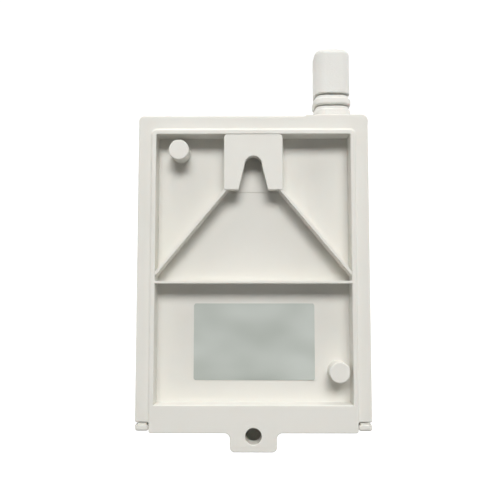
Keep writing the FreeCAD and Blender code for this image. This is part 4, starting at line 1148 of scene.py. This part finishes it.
@dataclass
class Studio:
    """A white sweep, soft lamps, pale surroundings and the camera."""

    lens_mm: float = 42.48
    sensor_mm: float = 36.0
    clip_start: float = 0.01
    camera_place: Triple = (-0.00024, 0.1751, 0.04125)
    camera_look: Triple = (0.00697, -0.99716, 0.07507)
    floor_drop: float = 0.14
    backdrop_gap: float = 0.75
    bend: float = 0.3
    bend_steps: int = 24
    half_width: float = 1.6
    floor_reach: float = 1.6
    backdrop_rise: float = 1.2
    paper_colour: Colour = (150, 150, 150)
    paper_roughness: float = 0.9
    paper_lift: float = 0.86
    lift_reach: tuple[float, float] = (0.2, 0.6)
    surroundings: float = 0.01
    surroundings_colour: Triple = (1.0, 0.87, 0.86)
    key_lamp: SoftLamp = SoftLamp("key_lamp", Side.REAR, turn_deg=-4.0, rise_deg=35.6, away=1.8,
                                  width=1.5, height=0.64, power=3.98, spread_deg=50.0)
    top_lamp: SoftLamp = SoftLamp("top_lamp", Side.REAR, turn_deg=0.0, rise_deg=74.0, away=0.9,
                                  width=0.8, height=0.4, power=0.7, spread_deg=80.0)
    side_lamp: SoftLamp = SoftLamp("left_lamp", Side.REAR, turn_deg=78.0, rise_deg=6.0, away=0.5,
                                   width=0.3, height=0.4, power=0.12, spread_deg=80.0)
    front_lamp: SoftLamp = SoftLamp("front_lamp", Side.FRONT, turn_deg=0.0, rise_deg=4.0,
                                    away=0.2, width=0.5, height=0.45, power=0.45)
    flank_lamp: SoftLamp = SoftLamp("front_left_lamp", Side.FRONT, turn_deg=64.0, rise_deg=12.0,
                                    away=0.5, width=0.3, height=0.4, power=0.17,
                                    spread_deg=80.0)

    def build(self) -> None:
        """Sets the stage, the lamps, the surroundings and the camera."""
        low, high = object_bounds()
        middle = (low + high) / 2
        self.sweep(low, high)
        for lamp in (self.key_lamp, self.top_lamp, self.side_lamp,
                     self.side_lamp.mirrored("right_lamp"), self.front_lamp, self.flank_lamp,
                     self.flank_lamp.mirrored("front_right_lamp")):
            lamp.place(middle)
        self.sky()
        self.camera()
        bpy.context.scene.view_settings.view_transform = "Standard"

    def sweep(self, low: Vector, high: Vector) -> None:
        """Lays a paper sweep below and behind the object.

        Args:
            low: The object's lowest corner.
            high: The object's highest corner.
        """
        floor = low.z - self.floor_drop
        back = low.y - self.backdrop_gap + (high.y - low.y) / 2
        line = [(self.floor_reach, floor)]
        for step in range(self.bend_steps + 1):
            angle = math.pi / 2 * step / self.bend_steps
            line.append((back + self.bend * (1 - math.sin(angle)),
                         floor + self.bend * (1 - math.cos(angle))))
        line.append((back, floor + self.backdrop_rise))
        shape = bmesh.new()
        sides = [[shape.verts.new((x, y, z)) for y, z in line]
                 for x in (-self.half_width, self.half_width)]
        for index in range(len(line) - 1):
            face = shape.faces.new((sides[0][index], sides[1][index], sides[1][index + 1],
                                    sides[0][index + 1]))
            face.smooth = True
        mesh = bpy.data.meshes.new("paper_sweep")
        shape.to_mesh(mesh)
        shape.free()
        mesh.materials.append(self.paper())
        paper = bpy.data.objects.new("paper_sweep", mesh)
        bpy.context.scene.collection.objects.link(paper)
        paper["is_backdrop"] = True

    def paper(self) -> bpy.types.Material:
        """Makes paper that shows white far off and a little greyer near the object, a painted
        greying laid under the lamps' real shadow.

        Returns:
            The paper's material.
        """
        shader = Shader("white_paper")
        away = shader.node("ShaderNodeVectorMath", {0: shader.place},
                           operation="LENGTH").outputs["Value"]
        # Painted greying: the glow that shows the paper white is weaker near the object and
        # reaches full white further off.
        lift = shader.between(away, self.paper_lift, 1.0, *self.lift_reach)
        shader.dress(Base_Color=linear(self.paper_colour), Roughness=self.paper_roughness,
                     Emission_Color=(1.0, 1.0, 1.0, 1.0),
                     Emission_Strength=shader.math("MULTIPLY", shader.looked_at(), lift))
        return shader.material

    def sky(self) -> None:
        """Fills the surroundings with white that is seen at full strength."""
        world = bpy.data.worlds.new("white_surroundings")
        bpy.context.scene.world = world
        world.use_nodes = True
        sky = Nodes(world.node_tree)
        seen = sky.looked_at()
        tint = sky.mixed(seen, (*self.surroundings_colour, 1.0), (1.0, 1.0, 1.0, 1.0))
        background = world.node_tree.nodes["Background"]
        sky.feed(background.inputs["Color"], tint)
        sky.feed(background.inputs["Strength"],
                 sky.between(seen, self.surroundings, 1.0, start=0.0, end=1.0))

    def camera(self) -> None:
        """Puts the camera where the photograph was taken from."""
        data = bpy.data.cameras.new("camera")
        data.lens = self.lens_mm
        data.sensor_width = self.sensor_mm
        data.clip_start = self.clip_start
        camera = bpy.data.objects.new("camera", data)
        camera.location = self.camera_place
        camera.rotation_mode = "QUATERNION"
        camera.rotation_quaternion = Vector(self.camera_look).to_track_quat("-Z", "Y")
        bpy.context.scene.collection.objects.link(camera)
        bpy.context.scene.camera = camera


def corners() -> list[list[float]]:
    """Gives the shown object's lowest and highest corners as plain lists."""
    return [list(corner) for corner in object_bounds()]


def main() -> None:
    """Builds every group and the studio."""
    logging.basicConfig(level=logging.INFO, format="%(name)s: %(message)s")
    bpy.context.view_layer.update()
    for group in (RearHousing(), FrontHousing(), WiringHousing(), StubAntenna(), ReceiverBoard(),
                  MainsBoard()):
        LOG.info("building %s", type(group).__name__)
        group.build()
    Studio().build()


if __name__ == "__main__":
    main()
